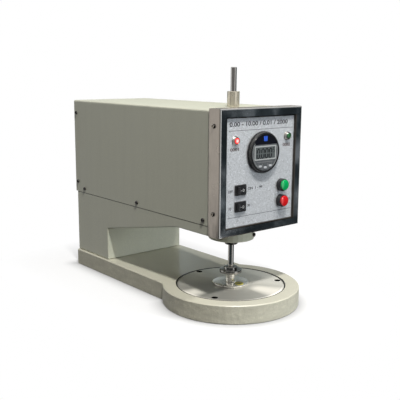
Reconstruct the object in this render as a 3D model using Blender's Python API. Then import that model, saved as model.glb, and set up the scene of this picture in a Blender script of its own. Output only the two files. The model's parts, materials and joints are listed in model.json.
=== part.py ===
"""Fabric thickness tester: a keyhole base with a steel anvil, a cast arm, a sheet cover,
a bright front frame with its instrument panel, and a motor driven measuring spindle.

Metres, +Z up, front towards -Y. Every length below is taken from the spindle axis
(x = 0, y = 0) and from the table (z = 0); the finished pieces are then moved so that the
whole stands centred on the world origin.
"""

import math

import bmesh
import bpy
from mathutils import Matrix, Vector

MM = 0.001

# Clearances and round counts
GAP = 0.3 * MM
RUNNING_GAP = 0.3 * MM
WELD = 0.002 * MM
OVERCUT = 1.0 * MM
FUSE_SINK = 2.0 * MM
BIG_ROUND_STEPS = 64
MID_ROUND_STEPS = 28
SMALL_ROUND_STEPS = 14
TINY_ROUND_STEPS = 8
HOLE_STEPS = 8
CORNER_STEPS = 4
SMALL_CORNER_STEPS = 2
TINY_CORNER_STEPS = 1
TIP_STEPS = 8
DOME_ANGLES = (30.0, 60.0)
SHARP_ANGLE = 32.0
SCREW_SHARP_ANGLE = 40.0
SOFT_ANGLE = 35.0

# Base casting
BASE_TOP = 25.5 * MM
BASE_RADIUS = 95.75 * MM
BASE_TAIL_WIDTH = 149.9 * MM
BASE_BACK = 298.0 * MM
BASE_CORNER = 3.0 * MM
BASE_EDGE = 1.2 * MM
BASE_WALL = 10.5 * MM
BASE_RIB = 9.0 * MM
BASE_SKIN = 10.5 * MM
BASE_POCKET_LENGTH = 38.0 * MM
BASE_POCKET_ROWS = 2

# Anvil plate let into the base
ANVIL_MARGIN = 20.75 * MM
ANVIL_RIM_GAP = 0.8 * MM
ANVIL_CHAMFER_WIDTH = 2.0 * MM
ANVIL_CHAMFER_DROP = 1.1 * MM
ANVIL_THICKNESS = 8.0 * MM
ANVIL_PROUD = 0.2 * MM
ANVIL_SCREW_MARGIN = 6.5 * MM
ANVIL_SCREW_ANGLES = (90.0, -30.0, 210.0)
ANVIL_SCREW_HEAD_RADIUS = 4.2 * MM
ANVIL_SCREW_HEAD_HEIGHT = 2.6 * MM
ANVIL_SCREW_SHANK_RADIUS = 2.5 * MM
ANVIL_SCREW_REACH = 7.0 * MM
ANVIL_SCREW_SUNK = 2.2 * MM
SOCKET_DEPTH_SHARE = 0.55
SOCKET_RADIUS_SHARE = 0.5

# Arm casting: column, haunched arm and round nose
ARM_SIDE_GAP = 0.35 * MM
ARM_FLUSH = 0.25 * MM
ARM_REBATE_GAP = 0.7 * MM
ARM_FRONT = -35.5 * MM
ARM_BACK = 297.5 * MM
ARM_UNDERSIDE = 110.2 * MM
ARM_RIM_RISE = 17.8 * MM
ARM_WALL = 8.0 * MM
ARM_KINK = 32.8 * MM
ARM_EDGE = 1.5 * MM
COLUMN_FRONT = 206.8 * MM
HAUNCH_DROP = 33.8 * MM
HAUNCH_SKIN = 9.0 * MM
DECK_BACK = 140.0 * MM
DECK_RAMP = 150.0 * MM
COLUMN_FLOOR = 16.5 * MM
WEB_THICKNESS = 6.0 * MM
WEB_DROP = 8.0 * MM
WEB_POSITIONS = (153.0 * MM, 235.0 * MM)
WEB_DEPTH = 40.0 * MM
NOSE_RADIUS = 31.9 * MM
NOSE_DROP = 18.9 * MM
NOSE_EDGE = 1.6 * MM
NOSE_HUB_RADIUS = 18.0 * MM
NOSE_HUB_HEIGHT = 9.8 * MM
COLUMN_BOLT_X = 50.0 * MM
COLUMN_BOLT_Y = (226.0 * MM, 278.0 * MM)
COLUMN_BOLT_RADIUS = 4.3 * MM
COLUMN_BOLT_DEPTH = 12.0 * MM
COLUMN_BOLT_HEAD_RADIUS = 7.5 * MM
COLUMN_BOLT_HEAD_DEPTH = 9.0 * MM

# Clamp screws in the nose
NOSE_SCREW_ANGLES = (-62.0, 118.0)
NOSE_SCREW_RISE = 7.2 * MM
NOSE_SCREW_HEAD_RADIUS = 2.6 * MM
NOSE_SCREW_HEAD_HEIGHT = 2.6 * MM
NOSE_SCREW_SHANK_RADIUS = 1.9 * MM
NOSE_SCREW_LENGTH = 14.0 * MM

# Top cover, bent from sheet
COVER_WIDTH = 143.5 * MM
COVER_SHEET = 1.2 * MM
COVER_HEIGHT = 147.9 * MM
COVER_SEAM_DROP = 12.4 * MM
COVER_FRONT = -50.3 * MM
COVER_BACK = 300.5 * MM
COVER_BEND = 2.6 * MM

# Side screws of the cover, as (depth, height) on both sides
COVER_SCREWS_LOW = (-23.7 * MM, 125.2 * MM, 273.2 * MM)
COVER_SCREW_ABOVE_SEAM = 6.3 * MM
COVER_SCREWS_BACK_Y = 293.6 * MM
COVER_SCREWS_BACK_RISES = (16.3 * MM, 127.8 * MM)
FRAME_SCREWS_Y = -45.0 * MM
FRAME_SCREW_RISES = (30.3 * MM, 141.0 * MM)
SCREW_HEAD_RADIUS = 2.9 * MM
SCREW_HEAD_HEIGHT = 1.7 * MM
SCREW_SHANK_RADIUS = 1.6 * MM
SCREW_REACH = 6.0 * MM
SCREW_CROWN_RADIUS = 2.3 * MM
SCREW_CROWN_HEIGHT = 1.3 * MM
SCREW_SOCKET_RADIUS = 1.3 * MM
SCREW_SOCKET_DEPTH = 1.1 * MM

# Rear panel, a shallow bent pan
REAR_SHEET = 1.5 * MM
REAR_FLANGE = 12.0 * MM
REAR_BEND = 2.4 * MM
REAR_PLATE_LAP = 1.0 * MM

# Front frame, bright sheet with a turned in window edge
FRAME_SHEET = 1.5 * MM
FRAME_FRONT = -57.2 * MM
FRAME_DEPTH = 21.0 * MM
FRAME_LAP = 0.8 * MM
FRAME_BEND = 1.8 * MM
FRAME_TOP_GAP = 0.5 * MM
WINDOW_SIDE_BORDER = 12.35 * MM
WINDOW_LOW_BORDER = 11.6 * MM
WINDOW_TOP_BORDER = 12.6 * MM
WINDOW_LIP = 2.8 * MM
BEND_STEPS = 3

# Instrument panel
PANEL_THICKNESS = 1.8 * MM
PANEL_EDGE_GAP = 0.3 * MM

# Digital indicator
DIAL_X = 2.2 * MM
DIAL_DROP = 45.2 * MM
DIAL_RADIUS = 27.3 * MM
DIAL_FRONT_RADIUS = 25.7 * MM
DIAL_PROUD = 6.7 * MM
DIAL_BAND = 3.4 * MM
DIAL_RIM_INNER = 23.6 * MM
DIAL_FACE_SUNK = 0.7 * MM
DIAL_BACK = -45.6 * MM
DIAL_NECK_RADIUS = 25.6 * MM
DIAL_KNURL_COUNT = 28
DIAL_KNURL_DEPTH = 0.45 * MM
CASE_RADIUS = 26.4 * MM
CASE_DEPTH = 18.0 * MM
CASE_EDGE = 1.2 * MM
STEM_RADIUS = 4.0 * MM
STEM_Y = -36.0 * MM
STEM_DROP = 39.2 * MM
PLUNGER_RADIUS = 2.25 * MM
PLUNGER_TOP_DROP = 7.7 * MM
PLUNGER_TIP_HEIGHT = 3.0 * MM
PLUNGER_TIP_RADIUS = 1.6 * MM
PLUNGER_TIP_START = -60.0
PLUNGER_OVERTRAVEL = 2.5 * MM
PLUNGER_BORE_RISE = 8.3 * MM
LCD_WIDTH = 38.8 * MM
LCD_HEIGHT = 18.2 * MM
LCD_DROP = 0.3 * MM
LCD_CORNER = 1.2 * MM
LCD_THICKNESS = 1.1 * MM
LCD_POCKET = 1.6 * MM
KEY_WIDTH = 5.2 * MM
KEY_HEIGHT = 2.8 * MM
KEY_PROUD = 0.9 * MM
KEY_DEPTH = 3.0 * MM
KEY_TRAVEL = 0.6 * MM
KEY_PITCH = 9.2 * MM
KEY_DROP = 19.6 * MM
KEY_ARCH = 1.9 * MM

# Lamps
LAMP_MARGINS = (15.6 * MM, 12.8 * MM)
LAMP_DROPS = (27.7 * MM, 26.5 * MM)
LAMP_BEZEL_RADIUS = 5.8 * MM
LAMP_LIP_RADIUS = 4.9 * MM
LAMP_BAND = 1.2 * MM
LAMP_PROUD = 3.4 * MM
LAMP_LENS_RADIUS = 3.5 * MM
LAMP_LENS_DOME = 1.2 * MM
LAMP_BARREL_RADIUS = 4.0 * MM
LAMP_BARREL_LENGTH = 11.0 * MM
LAMP_LENS_SEAT = 2.0 * MM

# Rocker switches, used on the front panel and in the mains inlet
SWITCH_MARGIN = 25.4 * MM
SWITCH_RISES = (25.6 * MM, 47.2 * MM)
SWITCH_WIDTH = 19.5 * MM
SWITCH_HEIGHT = 13.8 * MM
SWITCH_BEZEL = 1.6 * MM
SWITCH_BODY_WIDTH = 17.6 * MM
SWITCH_BODY_HEIGHT = 12.0 * MM
SWITCH_BODY_DEPTH = 14.0 * MM
SWITCH_CORNER = 0.8 * MM
ROCKER_WIDTH = 15.6 * MM
ROCKER_HEIGHT = 9.8 * MM
ROCKER_TILT = 10.0
ROCKER_PROUD = 1.7 * MM
ROCKER_ROOT = 3.6 * MM
ROCKER_AXIS_DEPTH = 1.2 * MM
ROCKER_CLEARANCE = 0.45 * MM
ROCKER_WELL = 6.6 * MM
ROCKER_STATIONS = (-1.0, -0.5, 0.0, 0.5, 1.0)
ROCKER_ROOT_STEPS = 5

# Push buttons
BUTTON_MARGIN = 22.3 * MM
BUTTON_RISES = (25.4 * MM, 46.9 * MM)
BUTTON_COLLAR_RADIUS = 8.3 * MM
BUTTON_COLLAR_PROUD = 6.6 * MM
BUTTON_COLLAR_EDGE = 0.7 * MM
BUTTON_CAP_RADIUS = 7.1 * MM
BUTTON_CAP_PROUD = 3.0 * MM
BUTTON_CAP_DOME = 0.9 * MM
BUTTON_CAP_SKIRT = 2.6 * MM
BUTTON_STEM_RADIUS = 3.0 * MM
BUTTON_STEM_LENGTH = 9.0 * MM
BUTTON_BARREL_RADIUS = 6.0 * MM
BUTTON_BARREL_LENGTH = 16.0 * MM
BUTTON_TRAVEL = 2.5 * MM

# Spindle with its bushes, weight collar and presser foot
SPINDLE_RADIUS = 4.07 * MM
SPINDLE_SHOW = 31.8 * MM
SPINDLE_CHAMFER = 0.7 * MM
SPINDLE_ENTRY = 9.0 * MM
TOP_BUSH_RADIUS = 8.45 * MM
TOP_BUSH_HEIGHT = 20.8 * MM
TOP_BUSH_NECK_RADIUS = 7.1 * MM
TOP_BUSH_CHAMFER = 0.5 * MM
LOW_BUSH_RADIUS = 9.0 * MM
LOW_BUSH_SHOW = 8.8 * MM
LOW_BUSH_STAND = 2.5 * MM
LOW_BUSH_EDGE = 0.8 * MM
FOOT_RADIUS = 25.23 * MM
FOOT_THICKNESS = 2.0 * MM
FOOT_EDGE = 0.4 * MM
FOOT_STUB_RADIUS = 6.8 * MM
COLLAR_BOTTOM = 41.9 * MM
COLLAR_RADIUS = 15.7 * MM
COLLAR_THICKNESS = 4.4 * MM
COLLAR_EDGE = 0.6 * MM
COLLAR_HUB_RADIUS = 9.4 * MM
COLLAR_HUB_HEIGHT = 3.9 * MM
COLLAR_SCREW_HEAD_RADIUS = 1.5 * MM
COLLAR_SCREW_HEAD_HEIGHT = 2.2 * MM
COLLAR_SCREW_SHANK_RADIUS = 0.9 * MM

# Guide bracket inside the head
GUIDE_MARGIN = 26.2 * MM
GUIDE_LEG = 6.0 * MM
GUIDE_FRONT = -26.0 * MM
GUIDE_BACK = 18.0 * MM
GUIDE_BRIDGE_DROP = 5.5 * MM
GUIDE_BRIDGE = 8.0 * MM
GUIDE_FOOT = 12.0 * MM
GUIDE_FOOT_THICKNESS = 5.0 * MM
GUIDE_FILLET = 5.0 * MM
GUIDE_SHELF_RISE = 1.5 * MM
GUIDE_SHELF_THICKNESS = 8.0 * MM
GUIDE_SHELF_BACK = -15.0 * MM
GUIDE_TONGUE_HALF = 11.0 * MM
GUIDE_TONGUE_FRONT = -44.5 * MM
GUIDE_LIGHTENING_RADIUS = 10.0 * MM
GUIDE_LIGHTENING_RISES = (26.8 * MM, 103.8 * MM)

# Lift cam, roller and lift arm
CAM_HEIGHT = 27.8 * MM
CAM_BASE_RADIUS = 14.0 * MM
CAM_LIFT = 12.0 * MM
CAM_RISE_ANGLE = 300.0
CAM_FRONT = 29.3 * MM
CAM_THICKNESS = 7.0 * MM
CAM_POINTS = 72
CAM_HUB_RADIUS = 7.0 * MM
CAM_HUB_BACK = 41.0 * MM
CAM_SHAFT_RADIUS = 3.0 * MM
CAM_SHAFT_BACK = 54.0 * MM
ROLLER_RADIUS = 8.0 * MM
ROLLER_WIDTH = 7.6 * MM
ROLLER_EDGE = 0.6 * MM
ROLLER_FRONT = 29.0 * MM
ROLLER_PIN_RADIUS = 3.0 * MM
ROLLER_PIN_HEAD_RADIUS = 4.6 * MM
ROLLER_PIN_HEAD = 1.4 * MM
LIFT_HUB_RADIUS = 10.0 * MM
LIFT_SINK = 3.0 * MM
LIFT_BAR_DROP = 1.8 * MM
LIFT_HUB_SKIRT = 8.0 * MM
LIFT_HUB_RISE = 17.7 * MM
LIFT_LUG_FRONT = 21.0 * MM
LIFT_LUG_BACK = 26.0 * MM
LIFT_LUG_HALF = 7.5 * MM
LIFT_BAR_THICKNESS = 7.0 * MM
LIFT_BAR_HALF = 5.5 * MM
LIFT_FINGER_THICKNESS = 5.0 * MM
LIFT_FINGER_TIP_RADIUS = 7.0 * MM

# Gear motor
MOTOR_HALF_WIDTH = 23.0 * MM
MOTOR_FRONT = 45.0 * MM
MOTOR_GEARBOX_DEPTH = 32.0 * MM
MOTOR_HEIGHT = 49.5 * MM
MOTOR_CAN_RADIUS = 18.0 * MM
MOTOR_CAN_BACK = 132.0 * MM
MOTOR_CAP_RADIUS = 8.0 * MM
MOTOR_CAP_LENGTH = 4.0 * MM
MOTOR_SPIGOT_RADIUS = 9.0 * MM
MOTOR_SPIGOT_LENGTH = 2.5 * MM
MOTOR_FOOT_HALF = 34.0 * MM
MOTOR_FOOT_THICKNESS = 4.0 * MM
MOTOR_FOOT_BACK = 96.0 * MM
MOTOR_EDGE = 1.5 * MM

# Control board on its posts
BOARD_MARGIN = 8.2 * MM
BOARD_OVERHANG = 5.0 * MM
BOARD_THICKNESS = 1.6 * MM
BOARD_POST_HEIGHT = 6.0 * MM
BOARD_POST_RADIUS = 2.6 * MM
BOARD_POST_INSET = 7.0 * MM
BOARD_SINK = 0.3 * MM
TRANSFORMER_PLACE = (-26.0 * MM, 4.0 * MM)
TRANSFORMER_SIZE = (42.0 * MM, 35.0 * MM, 34.0 * MM)
RELAY_PLACES = ((16.0 * MM, 16.0 * MM), (16.0 * MM, -4.0 * MM))
RELAY_SIZE = (19.0 * MM, 15.6 * MM, 15.5 * MM)
TERMINAL_PLACE = (18.0 * MM, -27.0 * MM)
TERMINAL_SIZE = (44.0 * MM, 9.6 * MM, 11.0 * MM)
HEAT_SINK_PLACE = (41.0 * MM, 2.0 * MM)
HEAT_SINK_SIZE = (4.0 * MM, 36.0 * MM, 22.0 * MM)
CAPACITOR_RADIUS = 5.0 * MM
CAPACITOR_HEIGHT = 20.0 * MM
CAPACITOR_PITCH = 22.0 * MM
CAPACITOR_DEPTH = 17.0 * MM

# Mains inlet with fuse drawer and power rocker on the rear panel
INLET_MARGIN = 34.25 * MM
INLET_RISE = 51.4 * MM
INLET_FLANGE_WIDTH = 31.0 * MM
INLET_FLANGE_HEIGHT = 60.0 * MM
INLET_FLANGE = 2.8 * MM
INLET_BODY_WIDTH = 27.2 * MM
INLET_BODY_HEIGHT = 47.4 * MM
INLET_BODY_DEPTH = 24.0 * MM
INLET_CORNER = 2.5 * MM
SOCKET_WIDTH = 24.0 * MM
SOCKET_HEIGHT = 16.5 * MM
SOCKET_BEVEL = 5.0 * MM
SOCKET_DEPTH = 17.0 * MM
SOCKET_DROP = 14.0 * MM
PIN_PITCH = 7.0 * MM
PIN_WIDTH = 2.0 * MM
PIN_HEIGHT = 4.0 * MM
PIN_LENGTH = 13.5 * MM
PIN_LOW = 3.4 * MM
PIN_EARTH_LIFT = 4.0 * MM
FUSE_WIDTH = 22.0 * MM
FUSE_HEIGHT = 6.4 * MM
FUSE_LIFT = 2.2 * MM
FUSE_GROOVE = 0.6 * MM
POWER_LIFT = 15.4 * MM

# Places that follow from the sizes above
ANVIL_TOP = BASE_TOP + ANVIL_PROUD
ANVIL_BOTTOM = ANVIL_TOP - ANVIL_THICKNESS
ANVIL_RADIUS = BASE_RADIUS - ANVIL_MARGIN
ANVIL_SCREW_CIRCLE = ANVIL_RADIUS - ANVIL_SCREW_MARGIN
RECESS_FLOOR = ANVIL_BOTTOM - GAP
RECESS_RADIUS = ANVIL_RADIUS + ANVIL_RIM_GAP
FOOT_BOTTOM = ANVIL_TOP + GAP
FOOT_TOP = FOOT_BOTTOM + FOOT_THICKNESS
FOOT_STUB_TOP = COLLAR_BOTTOM - GAP
SPINDLE_BOTTOM = FOOT_STUB_TOP - SPINDLE_ENTRY
SPINDLE_BORE = SPINDLE_RADIUS + RUNNING_GAP
ARM_BOTTOM = BASE_TOP + GAP
COVER_INSIDE = COVER_WIDTH / 2 - COVER_SHEET
ARM_HALF = COVER_INSIDE - ARM_SIDE_GAP
ARM_OUTER = COVER_WIDTH / 2 - ARM_FLUSH
ARM_INSIDE = ARM_HALF - ARM_WALL
ARM_DECK = ARM_UNDERSIDE + ARM_WALL
ARM_RIM = ARM_DECK + ARM_RIM_RISE
HAUNCH_LOW = ARM_UNDERSIDE - HAUNCH_DROP
NOSE_BOTTOM = ARM_UNDERSIDE - NOSE_DROP
NOSE_HUB_TOP = ARM_DECK + NOSE_HUB_HEIGHT
WEB_TOP = ARM_RIM - WEB_DROP
LOW_BUSH_BOTTOM = NOSE_BOTTOM - LOW_BUSH_SHOW
LOW_BUSH_TOP = NOSE_HUB_TOP + LOW_BUSH_STAND
COVER_SEAM = ARM_RIM - COVER_SEAM_DROP
REAR_PLATE_BOTTOM = COVER_SEAM + REAR_PLATE_LAP
INLET_Z = REAR_PLATE_BOTTOM + INLET_RISE
COVER_TOP = COVER_SEAM + COVER_HEIGHT
COVER_SCREWS_BACK_Z = [COVER_SEAM + rise for rise in COVER_SCREWS_BACK_RISES]
FRAME_BOTTOM = ARM_UNDERSIDE + FRAME_LAP
FRAME_SCREWS_Z = [FRAME_BOTTOM + rise for rise in FRAME_SCREW_RISES]
CAM_Z = ARM_DECK + CAM_HEIGHT
GUIDE_LIGHTENING_Z = [ARM_DECK + rise for rise in GUIDE_LIGHTENING_RISES]
NOSE_SCREW_HEIGHT = NOSE_BOTTOM + NOSE_SCREW_RISE
HAUNCH_SLOPE = (ARM_UNDERSIDE - HAUNCH_LOW) / (COLUMN_FRONT - ARM_KINK)
COVER_SCREWS_LOW_Z = COVER_SEAM + COVER_SCREW_ABOVE_SEAM
FRAME_HALF = COVER_WIDTH / 2 + GAP + FRAME_SHEET
FRAME_TOP = COVER_TOP + FRAME_TOP_GAP + FRAME_SHEET
FRAME_BACK = FRAME_FRONT + FRAME_DEPTH
WINDOW_HALF_WIDTH = FRAME_HALF - WINDOW_SIDE_BORDER
WINDOW_BOTTOM = FRAME_BOTTOM + WINDOW_LOW_BORDER
WINDOW_TOP = FRAME_TOP - WINDOW_TOP_BORDER
LAMP_X = (LAMP_MARGINS[0] - WINDOW_HALF_WIDTH, WINDOW_HALF_WIDTH - LAMP_MARGINS[1])
SWITCH_X = SWITCH_MARGIN - WINDOW_HALF_WIDTH
BUTTON_X = WINDOW_HALF_WIDTH - BUTTON_MARGIN
LAMP_Z = [WINDOW_TOP - drop for drop in LAMP_DROPS]
SWITCH_Z = [WINDOW_BOTTOM + rise for rise in SWITCH_RISES]
BUTTON_Z = [WINDOW_BOTTOM + rise for rise in BUTTON_RISES]
PANEL_FRONT = FRAME_FRONT + WINDOW_LIP + GAP
PANEL_BACK = PANEL_FRONT + PANEL_THICKNESS
PANEL_HALF = FRAME_HALF - FRAME_SHEET - PANEL_EDGE_GAP
PANEL_BOTTOM = FRAME_BOTTOM + FRAME_SHEET + PANEL_EDGE_GAP
PANEL_TOP = FRAME_TOP - FRAME_SHEET - PANEL_EDGE_GAP
DIAL_Z = WINDOW_TOP - DIAL_DROP
DIAL_FRONT = PANEL_FRONT - DIAL_PROUD
DIAL_FACE = DIAL_FRONT + DIAL_FACE_SUNK
CASE_FRONT = DIAL_BACK + GAP
CASE_BACK = CASE_FRONT + CASE_DEPTH
LCD_Z = DIAL_Z - LCD_DROP
STEM_BOTTOM = DIAL_Z - STEM_DROP
PLUNGER_TOP = DIAL_Z - PLUNGER_TOP_DROP
PLUNGER_BORE_TOP = DIAL_Z + PLUNGER_BORE_RISE
TOP_BUSH_TOP = COVER_TOP + TOP_BUSH_HEIGHT
SPINDLE_TOP = TOP_BUSH_TOP + SPINDLE_SHOW
GUIDE_BRIDGE_TOP = COVER_TOP - GUIDE_BRIDGE_DROP
GUIDE_HALF_SPAN = ARM_INSIDE - GUIDE_MARGIN
GUIDE_SHELF_Z = STEM_BOTTOM + GUIDE_SHELF_RISE
CAM_ROLLER_SPACING = CAM_BASE_RADIUS + ROLLER_RADIUS + GAP
CAM_PITCH = CAM_LIFT / math.radians(CAM_RISE_ANGLE)
ROLLER_Z = CAM_Z + CAM_ROLLER_SPACING
LIFT_FINGER_TOP = STEM_BOTTOM - CAM_LIFT - PLUNGER_OVERTRAVEL
PLUNGER_BOTTOM = LIFT_FINGER_TOP + GAP
LIFT_HUB_BOTTOM = LIFT_FINGER_TOP - LIFT_HUB_SKIRT
LIFT_HUB_TOP = ROLLER_Z + LIFT_HUB_RISE
MOTOR_BOTTOM = ARM_DECK + GAP
MOTOR_TOP = MOTOR_BOTTOM + MOTOR_HEIGHT
BOARD_HALF_WIDTH = ARM_INSIDE - BOARD_MARGIN
BOARD_POST_X = BOARD_HALF_WIDTH - BOARD_POST_INSET
BOARD_BOTTOM = WEB_TOP + BOARD_POST_HEIGHT
BOARD_TOP = BOARD_BOTTOM + BOARD_THICKNESS
REAR_INSIDE = ARM_BACK + GAP
REAR_OUTSIDE = REAR_INSIDE + REAR_SHEET
REAR_HALF = COVER_INSIDE - GAP
INLET_X = REAR_HALF - INLET_MARGIN
REAR_TOP = COVER_TOP - COVER_BEND - GAP
INLET_BACK = REAR_OUTSIDE + GAP + INLET_FLANGE
ROCKER_SINE = math.sin(math.radians(ROCKER_TILT))
ROCKER_COSINE = math.cos(math.radians(ROCKER_TILT))
ROCKER_HALF = ROCKER_WIDTH / 2 - ROCKER_CLEARANCE
ROCKER_RISE = ROCKER_PROUD + ROCKER_AXIS_DEPTH + ROCKER_HALF * ROCKER_SINE
ROCKER_REACH = ROCKER_HALF * ROCKER_SINE + ROCKER_RISE * ROCKER_COSINE - ROCKER_AXIS_DEPTH
BODY_REACH = INLET_BACK + ROCKER_REACH
CENTRE_SHIFT = Vector((0.0, (BASE_RADIUS - BODY_REACH) / 2, 0.0))

AXES = {"X": Vector((1.0, 0.0, 0.0)), "Y": Vector((0.0, 1.0, 0.0)), "Z": Vector((0.0, 0.0, 1.0))}


def clear_scene():
    """Start from an empty scene."""
    for item in list(bpy.data.objects):
        bpy.data.objects.remove(item, do_unlink=True)


def material(name, colour, roughness, metallic):
    """Principled material, made once for each name."""
    found = bpy.data.materials.get(name)
    if found is not None:
        return found
    made = bpy.data.materials.new(name)
    made.use_nodes = True
    shader = made.node_tree.nodes["Principled BSDF"]
    shader.inputs["Base Color"].default_value = (*colour, 1.0)
    shader.inputs["Roughness"].default_value = roughness
    shader.inputs["Metallic"].default_value = metallic
    made.diffuse_color = (*colour, 1.0)
    return made


def paint():
    return material("grey beige paint", (0.43, 0.43, 0.37), 0.5, 0.0)


def cream_paint():
    return material("cream paint", (0.62, 0.61, 0.52), 0.5, 0.0)


def bright_steel():
    return material("polished steel", (0.62, 0.62, 0.62), 0.12, 1.0)


def ground_steel():
    return material("ground steel", (0.55, 0.55, 0.53), 0.28, 1.0)


def dark_steel():
    return material("blackened steel", (0.05, 0.05, 0.05), 0.4, 0.9)


def black_plastic():
    return material("black plastic", (0.012, 0.012, 0.013), 0.38, 0.0)


def spatial(axis, flat, along):
    """Point in space of an outline point on the plane across an axis."""
    first, second = flat
    if axis == "X":
        return Vector((along, first, second))
    if axis == "Y":
        return Vector((first, along, second))
    return Vector((first, second, along))


def prism(outline, axis, low, high):
    """Solid made by pushing a flat outline along an axis."""
    mesh = bmesh.new()
    corners = [mesh.verts.new(spatial(axis, point, low)) for point in outline]
    face = mesh.faces.new(corners)
    pushed = bmesh.ops.extrude_face_region(mesh, geom=[face])
    moved = [item for item in pushed["geom"] if isinstance(item, bmesh.types.BMVert)]
    bmesh.ops.translate(mesh, verts=moved, vec=AXES[axis] * (high - low))
    bmesh.ops.recalc_face_normals(mesh, faces=mesh.faces)
    return mesh


def box(x_range, y_range, z_range):
    """Plain block between three pairs of limits."""
    outline = [
        (x_range[0], y_range[0]),
        (x_range[1], y_range[0]),
        (x_range[1], y_range[1]),
        (x_range[0], y_range[1]),
    ]
    return prism(outline, "Z", z_range[0], z_range[1])


def lathe(profile, axis, centre, rounds):
    """Turned solid: a closed profile of (radius, distance) spun about an axis through centre."""
    mesh = bmesh.new()
    across = AXES["Z"] if axis == "X" else AXES["X"]
    along = AXES[axis]
    base = Vector(centre)
    base -= along * base.dot(along)
    points = []
    for radius, distance in profile:
        points.append(mesh.verts.new(base + across * radius + along * distance))
    edges = []
    for index, point in enumerate(points):
        after = (index + 1) % len(points)
        if profile[index][0] > 0.0 or profile[after][0] > 0.0:
            edges.append(mesh.edges.new((point, points[after])))
    bmesh.ops.spin(
        mesh,
        geom=points + edges,
        cent=base,
        axis=along,
        angle=2 * math.pi,
        steps=rounds,
        use_merge=True,
    )
    bmesh.ops.remove_doubles(mesh, verts=mesh.verts, dist=WELD)
    bmesh.ops.recalc_face_normals(mesh, faces=mesh.faces)
    return mesh


def rod(radius, axis, centre, low, high, rounds=SMALL_ROUND_STEPS):
    """Plain round bar between two places along an axis."""
    return lathe([(0.0, low), (radius, low), (radius, high), (0.0, high)], axis, centre, rounds)


def arc(centre, radius, start, end, steps):
    """Points on an arc, angles in degrees, both ends included."""
    points = []
    for step in range(steps + 1):
        angle = math.radians(start + (end - start) * step / steps)
        points.append((centre[0] + radius * math.cos(angle), centre[1] + radius * math.sin(angle)))
    return points


def rounded_outline(x_range, z_range, corner, steps=CORNER_STEPS):
    """Rectangle with round corners, anticlockwise."""
    points = arc((x_range[1] - corner, z_range[1] - corner), corner, 0, 90, steps)
    points += arc((x_range[0] + corner, z_range[1] - corner), corner, 90, 180, steps)
    points += arc((x_range[0] + corner, z_range[0] + corner), corner, 180, 270, steps)
    points += arc((x_range[1] - corner, z_range[0] + corner), corner, 270, 360, steps)
    return points


def centred_outline(centre, width, height, corner, steps=CORNER_STEPS):
    """Round cornered rectangle about a centre."""
    x_range = (centre[0] - width / 2, centre[0] + width / 2)
    z_range = (centre[1] - height / 2, centre[1] + height / 2)
    return rounded_outline(x_range, z_range, corner, steps)


def loft(rings, closed):
    """Skin bridging rings of equal point counts, capped at both ends unless it closes on itself."""
    mesh = bmesh.new()
    rows = [[mesh.verts.new(point) for point in ring] for ring in rings]
    pairs = list(zip(rows, rows[1:]))
    if closed:
        pairs.append((rows[-1], rows[0]))
    else:
        mesh.faces.new(rows[0])
        mesh.faces.new(rows[-1])
    count = len(rows[0])
    for first, second in pairs:
        for index in range(count):
            after = (index + 1) % count
            mesh.faces.new((first[index], first[after], second[after], second[index]))
    bmesh.ops.recalc_face_normals(mesh, faces=mesh.faces)
    return mesh


def join(pieces):
    """One mesh holding several separate closed shapes."""
    whole = bmesh.new()
    for piece in pieces:
        carrier = bpy.data.meshes.new("carrier")
        piece.to_mesh(carrier)
        piece.free()
        whole.from_mesh(carrier)
        bpy.data.meshes.remove(carrier)
    return whole


def add_object(name, mesh_data, finish, pivot=(0.0, 0.0, 0.0)):
    """Named object whose origin sits at the pivot."""
    mesh = bpy.data.meshes.new(name)
    mesh_data.to_mesh(mesh)
    mesh_data.free()
    origin = Vector(pivot)
    mesh.transform(Matrix.Translation(-origin))
    mesh.shade_smooth()
    mesh.set_sharp_from_angle(angle=math.radians(SHARP_ANGLE))
    if finish is not None:
        mesh.materials.append(finish)
    made = bpy.data.objects.new(name, mesh)
    made.location = origin + CENTRE_SHIFT
    bpy.context.scene.collection.objects.link(made)
    return made


def soften(target, width, segments=2):
    """Bevel on the sharp edges."""
    step = target.modifiers.new("edges", "BEVEL")
    step.width = width
    step.segments = segments
    step.limit_method = "ANGLE"
    step.angle_limit = math.radians(SOFT_ANGLE)


def shape_with(target, name, pieces, operation):
    """Boolean step with a hidden guide made of separate closed shapes."""
    guide = add_object(name, join(pieces), None)
    guide.hide_render = True
    guide.display_type = "WIRE"
    step = target.modifiers.new(name, "BOOLEAN")
    step.operation = operation
    step.solver = "EXACT"
    step.object = guide


def cut(target, name, pieces):
    shape_with(target, target.name + "_" + name + "_cutter", pieces, "DIFFERENCE")


def fuse(target, name, pieces):
    shape_with(target, target.name + "_" + name + "_form", pieces, "UNION")


def base_outline():
    """Keyhole: a straight tail running into the round front."""
    half = BASE_TAIL_WIDTH / 2
    joint = math.degrees(math.acos(half / BASE_RADIUS))
    steps = BIG_ROUND_STEPS - SMALL_ROUND_STEPS
    round_front = arc((0.0, 0.0), BASE_RADIUS, 180.0 - joint, 360.0 + joint, steps)
    right = arc((half - BASE_CORNER, BASE_BACK - BASE_CORNER), BASE_CORNER, 0, 90, BEND_STEPS)
    left = arc((-half + BASE_CORNER, BASE_BACK - BASE_CORNER), BASE_CORNER, 90, 180, BEND_STEPS)
    return round_front + right + left


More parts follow.
